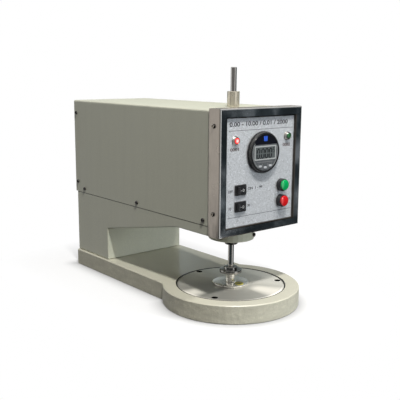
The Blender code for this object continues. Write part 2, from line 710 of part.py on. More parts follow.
def tail_pockets():
    """Cores under the tail on both sides of a middle rib; the round front stays solid."""
    inner = BASE_RIB / 2
    outer = BASE_TAIL_WIDTH / 2 - BASE_WALL
    cores = []
    for row in range(BASE_POCKET_ROWS):
        front = BASE_RADIUS + BASE_RIB + row * (BASE_POCKET_LENGTH + BASE_RIB)
        for x_range in ((-outer, -inner), (inner, outer)):
            depths = (front, front + BASE_POCKET_LENGTH)
            outline = rounded_outline(x_range, depths, BASE_CORNER, TINY_CORNER_STEPS)
            cores.append(prism(outline, "Z", -OVERCUT, BASE_TOP - BASE_SKIN))
    return cores


def column_bolts():
    """Places of the bolts that hold the column on the base."""
    return [(side * COLUMN_BOLT_X, depth) for side in (-1, 1) for depth in COLUMN_BOLT_Y]


def build_base():
    base = add_object("base_casting", prism(base_outline(), "Z", 0.0, BASE_TOP), cream_paint())
    soften(base, BASE_EDGE, 1)
    recess = rod(RECESS_RADIUS, "Z", (0, 0, 0), RECESS_FLOOR, BASE_TOP + OVERCUT, BIG_ROUND_STEPS)
    cut(base, "recess", [recess])
    cut(base, "pockets", tail_pockets())
    holes = []
    for x, y in column_bolts():
        bolt = [
            (0.0, -OVERCUT),
            (COLUMN_BOLT_HEAD_RADIUS, -OVERCUT),
            (COLUMN_BOLT_HEAD_RADIUS, COLUMN_BOLT_HEAD_DEPTH),
            (COLUMN_BOLT_RADIUS, COLUMN_BOLT_HEAD_DEPTH),
            (COLUMN_BOLT_RADIUS, BASE_TOP + OVERCUT),
            (0.0, BASE_TOP + OVERCUT),
        ]
        holes.append(lathe(bolt, "Z", (x, y, 0), SMALL_ROUND_STEPS))
    for x, y in anvil_screws():
        floor = ANVIL_BOTTOM - ANVIL_SCREW_REACH - GAP
        holes.append(rod(ANVIL_SCREW_SHANK_RADIUS + GAP, "Z", (x, y, 0), floor, BASE_TOP, HOLE_STEPS))
    cut(base, "holes", holes)


def anvil_screws():
    """Places of the three screws near the anvil's rim."""
    places = []
    for angle in ANVIL_SCREW_ANGLES:
        turn = math.radians(angle)
        places.append((ANVIL_SCREW_CIRCLE * math.cos(turn), ANVIL_SCREW_CIRCLE * math.sin(turn)))
    return places


def build_anvil():
    profile = [
        (0.0, ANVIL_BOTTOM),
        (ANVIL_RADIUS, ANVIL_BOTTOM),
        (ANVIL_RADIUS, ANVIL_TOP - ANVIL_CHAMFER_DROP),
        (ANVIL_RADIUS - ANVIL_CHAMFER_WIDTH, ANVIL_TOP),
        (0.0, ANVIL_TOP),
    ]
    anvil = add_object("anvil_plate", lathe(profile, "Z", (0, 0, 0), BIG_ROUND_STEPS), ground_steel())
    seat = ANVIL_TOP - ANVIL_SCREW_SUNK - ANVIL_SCREW_HEAD_HEIGHT - GAP
    holes = []
    for x, y in anvil_screws():
        stepped = [
            (0.0, ANVIL_BOTTOM - OVERCUT),
            (ANVIL_SCREW_SHANK_RADIUS + GAP, ANVIL_BOTTOM - OVERCUT),
            (ANVIL_SCREW_SHANK_RADIUS + GAP, seat),
            (ANVIL_SCREW_HEAD_RADIUS + GAP, seat),
            (ANVIL_SCREW_HEAD_RADIUS + GAP, ANVIL_TOP + OVERCUT),
            (0.0, ANVIL_TOP + OVERCUT),
        ]
        holes.append(lathe(stepped, "Z", (x, y, 0), SMALL_ROUND_STEPS))
    cut(anvil, "holes", holes)
    for index, (x, y) in enumerate(anvil_screws()):
        top = ANVIL_TOP - ANVIL_SCREW_SUNK
        under = top - ANVIL_SCREW_HEAD_HEIGHT
        screw = socket_screw(
            "Z",
            (x, y, 0),
            (top, under, ANVIL_BOTTOM - ANVIL_SCREW_REACH),
            (ANVIL_SCREW_HEAD_RADIUS, ANVIL_SCREW_SHANK_RADIUS),
        )
        add_object("anvil_screw_%d" % (index + 1), screw, dark_steel(), (x, y, top))


def socket_screw(axis, centre, levels, radii):
    """Cap screw as one turned piece: head face, underside and tip levels, then its two radii."""
    face, under, tip = levels
    head, shank = radii
    inward = math.copysign(1.0, under - face)
    socket_floor = face + inward * abs(under - face) * SOCKET_DEPTH_SHARE
    profile = [
        (0.0, socket_floor),
        (head * SOCKET_RADIUS_SHARE, socket_floor),
        (head * SOCKET_RADIUS_SHARE, face),
        (head, face),
        (head, under),
        (shank, under),
        (shank, tip),
        (0.0, tip),
    ]
    return lathe(profile, axis, centre, TINY_ROUND_STEPS)


def haunch(depth):
    """Height of the slanted underside at a depth."""
    return ARM_UNDERSIDE - (depth - ARM_KINK) * HAUNCH_SLOPE


def build_arm():
    side = [
        (ARM_FRONT, ARM_UNDERSIDE),
        (ARM_KINK, ARM_UNDERSIDE),
        (COLUMN_FRONT, HAUNCH_LOW),
        (COLUMN_FRONT, ARM_BOTTOM),
        (ARM_BACK, ARM_BOTTOM),
        (ARM_BACK, ARM_RIM),
        (ARM_FRONT, ARM_RIM),
    ]
    arm = add_object("arm_casting", prism(side, "X", -ARM_OUTER, ARM_OUTER), paint())
    soften(arm, ARM_EDGE)
    lip = (NOSE_RADIUS - NOSE_EDGE, NOSE_BOTTOM + NOSE_EDGE)
    nose = [(0.0, NOSE_BOTTOM)]
    nose += arc(lip, NOSE_EDGE, -90, 0, SMALL_CORNER_STEPS)
    nose += [(NOSE_RADIUS, ARM_DECK - FUSE_SINK), (0.0, ARM_DECK - FUSE_SINK)]
    fuse(arm, "nose", [lathe(nose, "Z", (0, 0, 0), MID_ROUND_STEPS)])
    pocket = [
        (ARM_FRONT + ARM_WALL, ARM_DECK),
        (DECK_BACK, ARM_DECK),
        (DECK_RAMP, haunch(DECK_RAMP) + HAUNCH_SKIN),
        (COLUMN_FRONT + ARM_WALL, haunch(COLUMN_FRONT + ARM_WALL) + HAUNCH_SKIN),
        (COLUMN_FRONT + ARM_WALL, ARM_BOTTOM + COLUMN_FLOOR),
        (ARM_BACK - ARM_WALL, ARM_BOTTOM + COLUMN_FLOOR),
        (ARM_BACK - ARM_WALL, ARM_RIM + OVERCUT),
        (ARM_FRONT + ARM_WALL, ARM_RIM + OVERCUT),
    ]
    cut(arm, "pocket", [prism(pocket, "X", -ARM_INSIDE, ARM_INSIDE)])
    y_range = (ARM_FRONT - OVERCUT, ARM_BACK + OVERCUT)
    z_range = (COVER_SEAM - ARM_REBATE_GAP, ARM_RIM + OVERCUT)
    left = box((-ARM_OUTER - OVERCUT, -ARM_HALF), y_range, z_range)
    right = box((ARM_HALF, ARM_OUTER + OVERCUT), y_range, z_range)
    cut(arm, "rebates", [left, right])
    hub_low = ARM_DECK - 2 * FUSE_SINK
    forms = [rod(NOSE_HUB_RADIUS, "Z", (0, 0, 0), hub_low, NOSE_HUB_TOP, MID_ROUND_STEPS)]
    for middle in WEB_POSITIONS:
        y_range = (middle - WEB_THICKNESS / 2, middle + WEB_THICKNESS / 2)
        x_range = (-ARM_INSIDE - FUSE_SINK, ARM_INSIDE + FUSE_SINK)
        forms.append(box(x_range, y_range, (WEB_TOP - WEB_DEPTH, WEB_TOP)))
    fuse(arm, "webs", forms)
    low = NOSE_BOTTOM - OVERCUT
    high = NOSE_HUB_TOP + OVERCUT
    holes = [rod(LOW_BUSH_RADIUS + GAP, "Z", (0, 0, 0), low, high, MID_ROUND_STEPS)]
    for x, y in column_bolts():
        low = ARM_BOTTOM - OVERCUT
        high = ARM_BOTTOM + COLUMN_BOLT_DEPTH
        holes.append(rod(COLUMN_BOLT_RADIUS - GAP, "Z", (x, y, 0), low, high, HOLE_STEPS))
    for depth in COVER_SCREWS_LOW:
        centre = (0, depth, COVER_SCREWS_LOW_Z)
        for sign in (-1, 1):
            ends = sorted((sign * (ARM_INSIDE - OVERCUT), sign * (ARM_HALF + OVERCUT)))
            holes.append(rod(SCREW_SHANK_RADIUS + GAP, "X", centre, ends[0], ends[1], HOLE_STEPS))
    for angle in NOSE_SCREW_ANGLES:
        start = NOSE_RADIUS - NOSE_SCREW_LENGTH - GAP
        end = NOSE_RADIUS + OVERCUT
        hole = rod(NOSE_SCREW_SHANK_RADIUS + GAP, "X", (0, 0, 0), start, end, HOLE_STEPS)
        holes.append(turned(hole, angle, NOSE_SCREW_HEIGHT))
    cut(arm, "holes", holes)


def turned(mesh, angle, height):
    """Mesh made along +X at the origin, turned about the spindle axis and raised."""
    move = Matrix.Translation((0.0, 0.0, height)) @ Matrix.Rotation(math.radians(angle), 4, "Z")
    bmesh.ops.transform(mesh, matrix=move, verts=mesh.verts)
    return mesh


def build_nose_screws():
    face = NOSE_RADIUS + GAP + NOSE_SCREW_HEAD_HEIGHT
    levels = (face, NOSE_RADIUS + GAP, NOSE_RADIUS - NOSE_SCREW_LENGTH)
    radii = (NOSE_SCREW_HEAD_RADIUS, NOSE_SCREW_SHANK_RADIUS)
    for index, angle in enumerate(NOSE_SCREW_ANGLES):
        screw = turned(socket_screw("X", (0, 0, 0), levels, radii), angle, NOSE_SCREW_HEIGHT)
        add_object("nose_screw_%d" % (index + 1), screw, dark_steel())


def cover_screw_places():
    """Depth and height of each side screw of the cover."""
    low = [(depth, COVER_SCREWS_LOW_Z) for depth in COVER_SCREWS_LOW]
    back = [(COVER_SCREWS_BACK_Y, height) for height in COVER_SCREWS_BACK_Z]
    return low + back


def frame_screw_places():
    """Depth and height of each side screw of the front frame."""
    return [(FRAME_SCREWS_Y, height) for height in FRAME_SCREWS_Z]


def through_holes(places):
    """Cross holes right through both sides of the head."""
    reach = FRAME_HALF + OVERCUT
    radius = SCREW_SHANK_RADIUS + GAP
    return [rod(radius, "X", (0, y, z), -reach, reach, HOLE_STEPS) for y, z in places]


def build_cover():
    half = COVER_WIDTH / 2
    inner = COVER_INSIDE
    bend = COVER_BEND - COVER_SHEET
    inner_top = COVER_TOP - COVER_SHEET
    outline = [(half, COVER_SEAM)]
    outline += arc((half - COVER_BEND, COVER_TOP - COVER_BEND), COVER_BEND, 0, 90, BEND_STEPS)
    outline += arc((-half + COVER_BEND, COVER_TOP - COVER_BEND), COVER_BEND, 90, 180, BEND_STEPS)
    outline += [(-half, COVER_SEAM), (-inner, COVER_SEAM)]
    outline += arc((-inner + bend, inner_top - bend), bend, 180, 90, BEND_STEPS)
    outline += arc((inner - bend, inner_top - bend), bend, 90, 0, BEND_STEPS)
    outline += [(inner, COVER_SEAM)]
    cover = add_object("top_cover", prism(outline, "Y", COVER_FRONT, COVER_BACK), paint())
    bush = rod(TOP_BUSH_NECK_RADIUS + GAP, "Z", (0, 0, 0), inner_top - OVERCUT, COVER_TOP + OVERCUT)
    cut(cover, "holes", [bush] + through_holes(cover_screw_places() + frame_screw_places()))


def build_side_screws():
    """Button head screws on both sides; they all share one shape."""
    groups = (
        ("cover_screw", COVER_WIDTH / 2, cover_screw_places()),
        ("frame_screw", FRAME_HALF, frame_screw_places()),
    )
    shared = button_screw()
    for name, surface, places in groups:
        number = 0
        for sign in (-1, 1):
            for y, z in places:
                number += 1
                screw = bpy.data.objects.new("%s_%d" % (name, number), shared)
                screw.location = Vector((sign * (surface + GAP), y, z)) + CENTRE_SHIFT
                screw.rotation_euler = (0.0, 0.0, 0.0 if sign > 0 else math.pi)
                bpy.context.scene.collection.objects.link(screw)


def button_screw():
    """Mesh of a button head screw: head outwards along +X, seat at the origin."""
    high = SCREW_HEAD_HEIGHT
    profile = [
        (0.0, high - SCREW_SOCKET_DEPTH),
        (SCREW_SOCKET_RADIUS, high - SCREW_SOCKET_DEPTH),
        (SCREW_SOCKET_RADIUS, high),
        (SCREW_CROWN_RADIUS, SCREW_CROWN_HEIGHT),
        (SCREW_HEAD_RADIUS, 0.0),
        (SCREW_SHANK_RADIUS, 0.0),
        (SCREW_SHANK_RADIUS, -SCREW_REACH),
        (0.0, -SCREW_REACH),
    ]
    form = lathe(profile, "X", (0, 0, 0), TINY_ROUND_STEPS)
    mesh = bpy.data.meshes.new("button_screw")
    form.to_mesh(mesh)
    form.free()
    mesh.shade_smooth()
    mesh.set_sharp_from_angle(angle=math.radians(SCREW_SHARP_ANGLE))
    mesh.materials.append(dark_steel())
    return mesh


def build_rear_panel():
    half = REAR_HALF
    inner = half - REAR_SHEET
    bend = REAR_BEND - REAR_SHEET
    front = REAR_OUTSIDE - REAR_FLANGE
    outline = [(half, front)]
    outline += arc((half - REAR_BEND, REAR_OUTSIDE - REAR_BEND), REAR_BEND, 0, 90, BEND_STEPS)
    outline += arc((-half + REAR_BEND, REAR_OUTSIDE - REAR_BEND), REAR_BEND, 90, 180, BEND_STEPS)
    outline += [(-half, front), (-inner, front)]
    outline += arc((-inner + bend, REAR_INSIDE - bend), bend, 180, 90, BEND_STEPS)
    outline += arc((inner - bend, REAR_INSIDE - bend), bend, 90, 0, BEND_STEPS)
    outline += [(inner, front)]
    panel = add_object("rear_panel", prism(outline, "Z", REAR_PLATE_BOTTOM, REAR_TOP), paint())
    clear = ARM_RIM + GAP
    notch = box(
        (-half - OVERCUT, half + OVERCUT),
        (front - OVERCUT, REAR_INSIDE),
        (REAR_PLATE_BOTTOM - OVERCUT, clear),
    )
    holes = through_holes([(COVER_SCREWS_BACK_Y, height) for height in COVER_SCREWS_BACK_Z])
    width = INLET_BODY_WIDTH + 2 * GAP
    height = INLET_BODY_HEIGHT + 2 * GAP
    opening = centred_outline((INLET_X, INLET_Z), width, height, SWITCH_CORNER, SMALL_CORNER_STEPS)
    holes.append(prism(opening, "Y", REAR_INSIDE - OVERCUT, REAR_OUTSIDE + OVERCUT))
    cut(panel, "notch", [notch])
    cut(panel, "holes", holes)


def upright_corners(half, low, high, depth):
    """Four corners of an upright rectangle at a depth."""
    sides = ((-half, low), (half, low), (half, high), (-half, high))
    return [Vector((x, depth, z)) for x, z in sides]


def rectangle_ring(inset, depth):
    """Four corners of the frame section at an inset from the frame's outer faces."""
    half = FRAME_HALF - inset
    return upright_corners(half, FRAME_BOTTOM + inset, FRAME_TOP - inset, depth)


def window_ring(outset, depth):
    """Four corners of the frame section at an outset from the window's edge."""
    half = WINDOW_HALF_WIDTH + outset
    return upright_corners(half, WINDOW_BOTTOM - outset, WINDOW_TOP + outset, depth)


def build_front_frame():
    inner_bend = FRAME_BEND - FRAME_SHEET
    rings = [rectangle_ring(0.0, FRAME_BACK)]
    for inset, depth in arc((FRAME_BEND, FRAME_FRONT + FRAME_BEND), FRAME_BEND, 180, 270, BEND_STEPS):
        rings.append(rectangle_ring(inset, depth))
    for outset, depth in arc((FRAME_BEND, FRAME_FRONT + FRAME_BEND), FRAME_BEND, 270, 180, BEND_STEPS):
        rings.append(window_ring(outset, depth))
    rings.append(window_ring(0.0, FRAME_FRONT + WINDOW_LIP))
    rings.append(window_ring(FRAME_SHEET, FRAME_FRONT + WINDOW_LIP))
    for outset, depth in arc((FRAME_BEND, FRAME_FRONT + FRAME_BEND), inner_bend, 180, 270, 1):
        rings.append(window_ring(outset, depth))
    for inset, depth in arc((FRAME_BEND, FRAME_FRONT + FRAME_BEND), inner_bend, 270, 180, 1):
        rings.append(rectangle_ring(inset, depth))
    rings.append(rectangle_ring(FRAME_SHEET, FRAME_BACK))
    frame = add_object("front_frame", loft(rings, True), bright_steel())
    cut(frame, "holes", through_holes(frame_screw_places()))


def build_panel():
    plate = box((-PANEL_HALF, PANEL_HALF), (PANEL_FRONT, PANEL_BACK), (PANEL_BOTTOM, PANEL_TOP))
    finish = material("brushed silver panel", (0.6, 0.61, 0.62), 0.35, 0.6)
    panel = add_object("instrument_panel", plate, finish)
    low = PANEL_FRONT - OVERCUT
    high = PANEL_BACK + OVERCUT
    openings = [rod(DIAL_NECK_RADIUS + GAP, "Y", (DIAL_X, 0, DIAL_Z), low, high, MID_ROUND_STEPS)]
    for x, z in zip(LAMP_X, LAMP_Z):
        openings.append(rod(LAMP_BARREL_RADIUS + GAP, "Y", (x, 0, z), low, high))
    for z in BUTTON_Z:
        openings.append(rod(BUTTON_BARREL_RADIUS + GAP, "Y", (BUTTON_X, 0, z), low, high))
    for z in SWITCH_Z:
        width = SWITCH_BODY_WIDTH + 2 * GAP
        height = SWITCH_BODY_HEIGHT + 2 * GAP
        outline = centred_outline((SWITCH_X, z), width, height, SWITCH_CORNER, TINY_CORNER_STEPS)
        openings.append(prism(outline, "Y", low, high))
    cut(panel, "openings", openings)


def ring_points(radius, depth, knurl=0.0):
    """Points round the dial axis; every other one is pulled in where the rim is knurled."""
    points = []
    count = DIAL_KNURL_COUNT * 2
    for index in range(count):
        angle = 2 * math.pi * index / count
        reach = radius - (knurl if index % 2 else 0.0)
        points.append(Vector((DIAL_X + reach * math.cos(angle), depth, DIAL_Z + reach * math.sin(angle))))
    return points


def key_places():
    """Centres of the three keys, the middle one lowest."""
    places = []
    for index in (-1, 0, 1):
        places.append((DIAL_X + index * KEY_PITCH, DIAL_Z - KEY_DROP + abs(index) * KEY_ARCH))
    return places


def build_indicator():
    shoulder = DIAL_FRONT + DIAL_BAND
    rings = [
        ring_points(DIAL_NECK_RADIUS, DIAL_BACK),
        ring_points(DIAL_NECK_RADIUS, PANEL_FRONT - GAP),
        ring_points(DIAL_RADIUS, PANEL_FRONT - GAP),
        ring_points(DIAL_RADIUS, shoulder),
        ring_points(DIAL_FRONT_RADIUS, DIAL_FRONT + DIAL_KNURL_DEPTH, DIAL_KNURL_DEPTH),
        ring_points(DIAL_FRONT_RADIUS - DIAL_KNURL_DEPTH * 2, DIAL_FRONT),
        ring_points(DIAL_RIM_INNER, DIAL_FRONT),
        ring_points(DIAL_RIM_INNER, DIAL_FACE),
    ]
    dial = add_object("indicator_face", loft(rings, False), black_plastic(), (DIAL_X, DIAL_FACE, DIAL_Z))
    pockets = []
    window = centred_outline((DIAL_X, LCD_Z), LCD_WIDTH + 2 * GAP, LCD_HEIGHT + 2 * GAP, LCD_CORNER)
    pockets.append(prism(window, "Y", DIAL_FACE - OVERCUT, DIAL_FACE + LCD_POCKET))
    for place in key_places():
        seat = centred_outline(place, KEY_WIDTH + 2 * GAP, KEY_HEIGHT + 2 * GAP, KEY_HEIGHT / 2)
        floor = DIAL_FACE + KEY_DEPTH + KEY_TRAVEL + GAP
        pockets.append(prism(seat, "Y", DIAL_FACE - OVERCUT, floor))
    cut(dial, "pockets", pockets)

    pane_back = DIAL_FACE + LCD_POCKET - GAP
    pane = centred_outline((DIAL_X, LCD_Z), LCD_WIDTH, LCD_HEIGHT, LCD_CORNER)
    finish = material("display window", (0.32, 0.34, 0.31), 0.1, 0.0)
    add_object("indicator_window", prism(pane, "Y", pane_back - LCD_THICKNESS, pane_back), finish)

    finish = material("grey key plastic", (0.5, 0.5, 0.5), 0.45, 0.0)
    for index, place in enumerate(key_places()):
        outline = centred_outline(place, KEY_WIDTH, KEY_HEIGHT, KEY_HEIGHT / 2 - GAP)
        solid = prism(outline, "Y", DIAL_FACE - KEY_PROUD, DIAL_FACE + KEY_DEPTH)
        pivot = (place[0], DIAL_FACE, place[1])
        add_object("indicator_key_%d" % (index + 1), solid, finish, pivot)


def build_indicator_case():
    profile = [
        (0.0, CASE_FRONT),
        (CASE_RADIUS, CASE_FRONT),
        (CASE_RADIUS, CASE_BACK - CASE_EDGE),
        (CASE_RADIUS - CASE_EDGE, CASE_BACK),
        (0.0, CASE_BACK),
    ]
    solid = lathe(profile, "Y", (DIAL_X, 0, DIAL_Z), MID_ROUND_STEPS)
    case = add_object("indicator_case", solid, black_plastic())
    centre = (DIAL_X, STEM_Y, 0)
    fuse(case, "stem", [rod(STEM_RADIUS, "Z", centre, STEM_BOTTOM, DIAL_Z - CASE_RADIUS / 2)])
    radius = PLUNGER_RADIUS + RUNNING_GAP
    cut(case, "bore", [rod(radius, "Z", centre, STEM_BOTTOM - OVERCUT, PLUNGER_BORE_TOP)])

    tip = PLUNGER_BOTTOM
    profile = [(0.0, tip)]
    centre = (0.0, tip + PLUNGER_TIP_RADIUS)
    profile += arc(centre, PLUNGER_TIP_RADIUS, PLUNGER_TIP_START, 0, SMALL_CORNER_STEPS)
    profile += [
        (PLUNGER_TIP_RADIUS, tip + PLUNGER_TIP_HEIGHT),
        (PLUNGER_RADIUS, tip + PLUNGER_TIP_HEIGHT),
        (PLUNGER_RADIUS, PLUNGER_TOP),
        (0.0, PLUNGER_TOP),
    ]
    solid = lathe(profile, "Z", (DIAL_X, STEM_Y, 0), SMALL_ROUND_STEPS)
    add_object("indicator_plunger", solid, bright_steel(), (DIAL_X, STEM_Y, tip))


def dome(radius, level, rise):
    """Profile points of a low dome that rises towards the front from a level."""
    points = []
    for angle in DOME_ANGLES:
        turn = math.radians(angle)
        points.append((radius * math.cos(turn), level - rise * math.sin(turn)))
    return points + [(0.0, level - rise)]


def build_lamps():
    colours = (("power", (0.75, 0.05, 0.04)), ("ready", (0.02, 0.2, 0.06)))
    base = PANEL_FRONT - GAP
    for (name, colour), x, z in zip(colours, LAMP_X, LAMP_Z):
        back = base + LAMP_BARREL_LENGTH
        seat = base + LAMP_LENS_SEAT
        bore = LAMP_LENS_RADIUS + GAP
        profile = [
            (0.0, back),
            (0.0, seat),
            (bore, seat),
            (bore, base - LAMP_PROUD),
            (LAMP_LIP_RADIUS, base - LAMP_PROUD),
            (LAMP_BEZEL_RADIUS, base - LAMP_BAND),
            (LAMP_BEZEL_RADIUS, base),
            (LAMP_BARREL_RADIUS, base),
            (LAMP_BARREL_RADIUS, back),
        ]
        add_object(name + "_lamp_bezel", lathe(profile, "Y", (x, 0, z), SMALL_ROUND_STEPS), bright_steel())
        rim = base - LAMP_PROUD + GAP
        lens = [(0.0, seat - GAP), (LAMP_LENS_RADIUS, seat - GAP), (LAMP_LENS_RADIUS, rim)]
        lens += dome(LAMP_LENS_RADIUS, rim, LAMP_LENS_DOME)
        finish = material(name + " lens", colour, 0.15, 0.0)
        add_object(name + "_lamp_lens", lathe(lens, "Y", (x, 0, z), SMALL_ROUND_STEPS), finish)


def rocker_outline():
    """Side view of a rocker about its pivot: a hollow face over a round root.

    The first coordinate runs across the switch and the second inwards from its pivot.
    The rocker is drawn tilted, with its left end up.
    """
    half = ROCKER_HALF
    valley = ROCKER_PROUD + ROCKER_AXIS_DEPTH
    upright = []
    for share in ROCKER_STATIONS:
        upright.append((share * half, -valley - (ROCKER_RISE - valley) * share * share))
    upright.append((half, 0.0))
    upright += arc((0.0, 0.0), ROCKER_ROOT, 0, 180, ROCKER_ROOT_STEPS)
    upright.append((-half, 0.0))
    tilted = []
    for across, inwards in upright:
        sideways = across * ROCKER_COSINE - inwards * ROCKER_SINE
        tilted.append((sideways, across * ROCKER_SINE + inwards * ROCKER_COSINE))
    return tilted


def rocker_well(centre):
    """Outline of the well that a rocker sits in."""
    return centred_outline(centre, ROCKER_WIDTH, ROCKER_HEIGHT, SWITCH_CORNER / 2, TINY_CORNER_STEPS)


def build_switches():
    names = ("time", "mode")
    for name, z in zip(names, SWITCH_Z):
        front = PANEL_FRONT - GAP - SWITCH_BEZEL
        seat = PANEL_FRONT - GAP
        size = (SWITCH_WIDTH, SWITCH_HEIGHT)
        outline = centred_outline((SWITCH_X, z), size[0], size[1], SWITCH_CORNER, SMALL_CORNER_STEPS)
        body = add_object(name + "_switch_body", prism(outline, "Y", front, seat), black_plastic())
        soften(body, SWITCH_CORNER / 2, 1)
        size = (SWITCH_BODY_WIDTH, SWITCH_BODY_HEIGHT)
        shell = centred_outline((SWITCH_X, z), size[0], size[1], SWITCH_CORNER, TINY_CORNER_STEPS)
        fuse(body, "housing", [prism(shell, "Y", seat - SWITCH_BEZEL / 2, seat + SWITCH_BODY_DEPTH)])
        well = rocker_well((SWITCH_X, z))
        cut(body, "well", [prism(well, "Y", front - OVERCUT, front + ROCKER_WELL)])
        pivot_depth = front + ROCKER_AXIS_DEPTH
        side = [(SWITCH_X + x, pivot_depth + y) for x, y in rocker_outline()]
        half = ROCKER_HEIGHT / 2 - ROCKER_CLEARANCE
        solid = prism(side, "Z", z - half, z + half)
        add_object(name + "_rocker", solid, black_plastic(), (SWITCH_X, pivot_depth, z))


def build_buttons():
    names = (("stop", (0.65, 0.03, 0.03)), ("start", (0.03, 0.4, 0.1)))
    base = PANEL_FRONT - GAP
    for (name, colour), z in zip(names, BUTTON_Z):
        centre = (BUTTON_X, 0, z)
        front = base - BUTTON_COLLAR_PROUD
        floor = front + BUTTON_CAP_SKIRT + BUTTON_TRAVEL + RUNNING_GAP
        back = base + BUTTON_BARREL_LENGTH
        bore = BUTTON_CAP_RADIUS + RUNNING_GAP
        stem = BUTTON_STEM_RADIUS + RUNNING_GAP
        well = floor + BUTTON_STEM_LENGTH
        profile = [
            (0.0, back),
            (0.0, well),
            (stem, well),
            (stem, floor),
            (bore, floor),
            (bore, front),
            (BUTTON_COLLAR_RADIUS - BUTTON_COLLAR_EDGE, front),
            (BUTTON_COLLAR_RADIUS, front + BUTTON_COLLAR_EDGE),
            (BUTTON_COLLAR_RADIUS, base),
            (BUTTON_BARREL_RADIUS, base),
            (BUTTON_BARREL_RADIUS, back),
        ]
        add_object(name + "_button_body", lathe(profile, "Y", centre, MID_ROUND_STEPS), black_plastic())
        skirt = front + BUTTON_CAP_SKIRT
        face = front - BUTTON_CAP_PROUD
        shoulder = face + BUTTON_CAP_DOME
        cap = [
            (0.0, well - BUTTON_TRAVEL - RUNNING_GAP),
            (BUTTON_STEM_RADIUS, well - BUTTON_TRAVEL - RUNNING_GAP),
            (BUTTON_STEM_RADIUS, skirt),
            (BUTTON_CAP_RADIUS, skirt),
            (BUTTON_CAP_RADIUS, shoulder),
        ]
        cap += dome(BUTTON_CAP_RADIUS, shoulder, BUTTON_CAP_DOME)
        finish = material(name + " button plastic", colour, 0.2, 0.0)
        solid = lathe(cap, "Y", centre, MID_ROUND_STEPS)
        add_object(name + "_button_cap", solid, finish, (BUTTON_X, skirt, z))


def build_spindle():
    profile = [
        (0.0, SPINDLE_BOTTOM),
        (SPINDLE_RADIUS, SPINDLE_BOTTOM),
        (SPINDLE_RADIUS, SPINDLE_TOP - SPINDLE_CHAMFER),
        (SPINDLE_RADIUS - SPINDLE_CHAMFER, SPINDLE_TOP),
        (0.0, SPINDLE_TOP),
    ]
    add_object("spindle", lathe(profile, "Z", (0, 0, 0), SMALL_ROUND_STEPS), bright_steel())

    bore_floor = SPINDLE_BOTTOM - GAP
    profile = [
        (0.0, FOOT_BOTTOM),
        (FOOT_RADIUS - FOOT_EDGE, FOOT_BOTTOM),
        (FOOT_RADIUS, FOOT_BOTTOM + FOOT_EDGE),
        (FOOT_RADIUS, FOOT_TOP - FOOT_EDGE),
        (FOOT_RADIUS - FOOT_EDGE, FOOT_TOP),
        (FOOT_STUB_RADIUS, FOOT_TOP),
        (FOOT_STUB_RADIUS, FOOT_STUB_TOP),
        (SPINDLE_BORE, FOOT_STUB_TOP),
        (SPINDLE_BORE, bore_floor),
        (0.0, bore_floor),
    ]
    add_object("presser_foot", lathe(profile, "Z", (0, 0, 0), MID_ROUND_STEPS), bright_steel())

    flange_top = COLLAR_BOTTOM + COLLAR_THICKNESS
    hub_top = flange_top + COLLAR_HUB_HEIGHT
    profile = [
        (SPINDLE_BORE, COLLAR_BOTTOM),
        (COLLAR_RADIUS - COLLAR_EDGE, COLLAR_BOTTOM),
        (COLLAR_RADIUS, COLLAR_BOTTOM + COLLAR_EDGE),
        (COLLAR_RADIUS, flange_top - COLLAR_EDGE),
        (COLLAR_RADIUS - COLLAR_EDGE, flange_top),
        (COLLAR_HUB_RADIUS, flange_top),
        (COLLAR_HUB_RADIUS, hub_top - COLLAR_EDGE / 2),
        (COLLAR_HUB_RADIUS - COLLAR_EDGE / 2, hub_top),
        (SPINDLE_BORE, hub_top),
    ]
    collar = add_object("weight_collar", lathe(profile, "Z", (0, 0, 0), MID_ROUND_STEPS), bright_steel())
    middle = (flange_top + hub_top) / 2
    start = -COLLAR_HUB_RADIUS - OVERCUT
    radius = COLLAR_SCREW_SHANK_RADIUS + GAP
    cut(collar, "hole", [rod(radius, "Y", (0, 0, middle), start, -SPINDLE_RADIUS, HOLE_STEPS)])
    head_seat = -COLLAR_HUB_RADIUS - GAP
    levels = (head_seat - COLLAR_SCREW_HEAD_HEIGHT, head_seat, -SPINDLE_RADIUS - GAP)
    radii = (COLLAR_SCREW_HEAD_RADIUS, COLLAR_SCREW_SHANK_RADIUS)
    add_object("collar_screw", socket_screw("Y", (0, 0, middle), levels, radii), dark_steel())


def build_bushes():
    neck_bottom = GUIDE_BRIDGE_TOP - GUIDE_BRIDGE
    seat = COVER_TOP + GAP
    profile = [
        (SPINDLE_BORE, neck_bottom),
        (TOP_BUSH_NECK_RADIUS, neck_bottom),
        (TOP_BUSH_NECK_RADIUS, seat),
        (TOP_BUSH_RADIUS, seat),
        (TOP_BUSH_RADIUS, TOP_BUSH_TOP - TOP_BUSH_CHAMFER),
        (TOP_BUSH_RADIUS - TOP_BUSH_CHAMFER, TOP_BUSH_TOP),
        (SPINDLE_BORE, TOP_BUSH_TOP),
    ]
    add_object("top_bush", lathe(profile, "Z", (0, 0, 0), MID_ROUND_STEPS), bright_steel())
    profile = [
        (SPINDLE_BORE, LOW_BUSH_BOTTOM),
        (LOW_BUSH_RADIUS - LOW_BUSH_EDGE, LOW_BUSH_BOTTOM),
        (LOW_BUSH_RADIUS, LOW_BUSH_BOTTOM + LOW_BUSH_EDGE),
        (LOW_BUSH_RADIUS, LOW_BUSH_TOP),
        (SPINDLE_BORE, LOW_BUSH_TOP),
    ]
    add_object("lower_bush", lathe(profile, "Z", (0, 0, 0), MID_ROUND_STEPS), dark_steel())


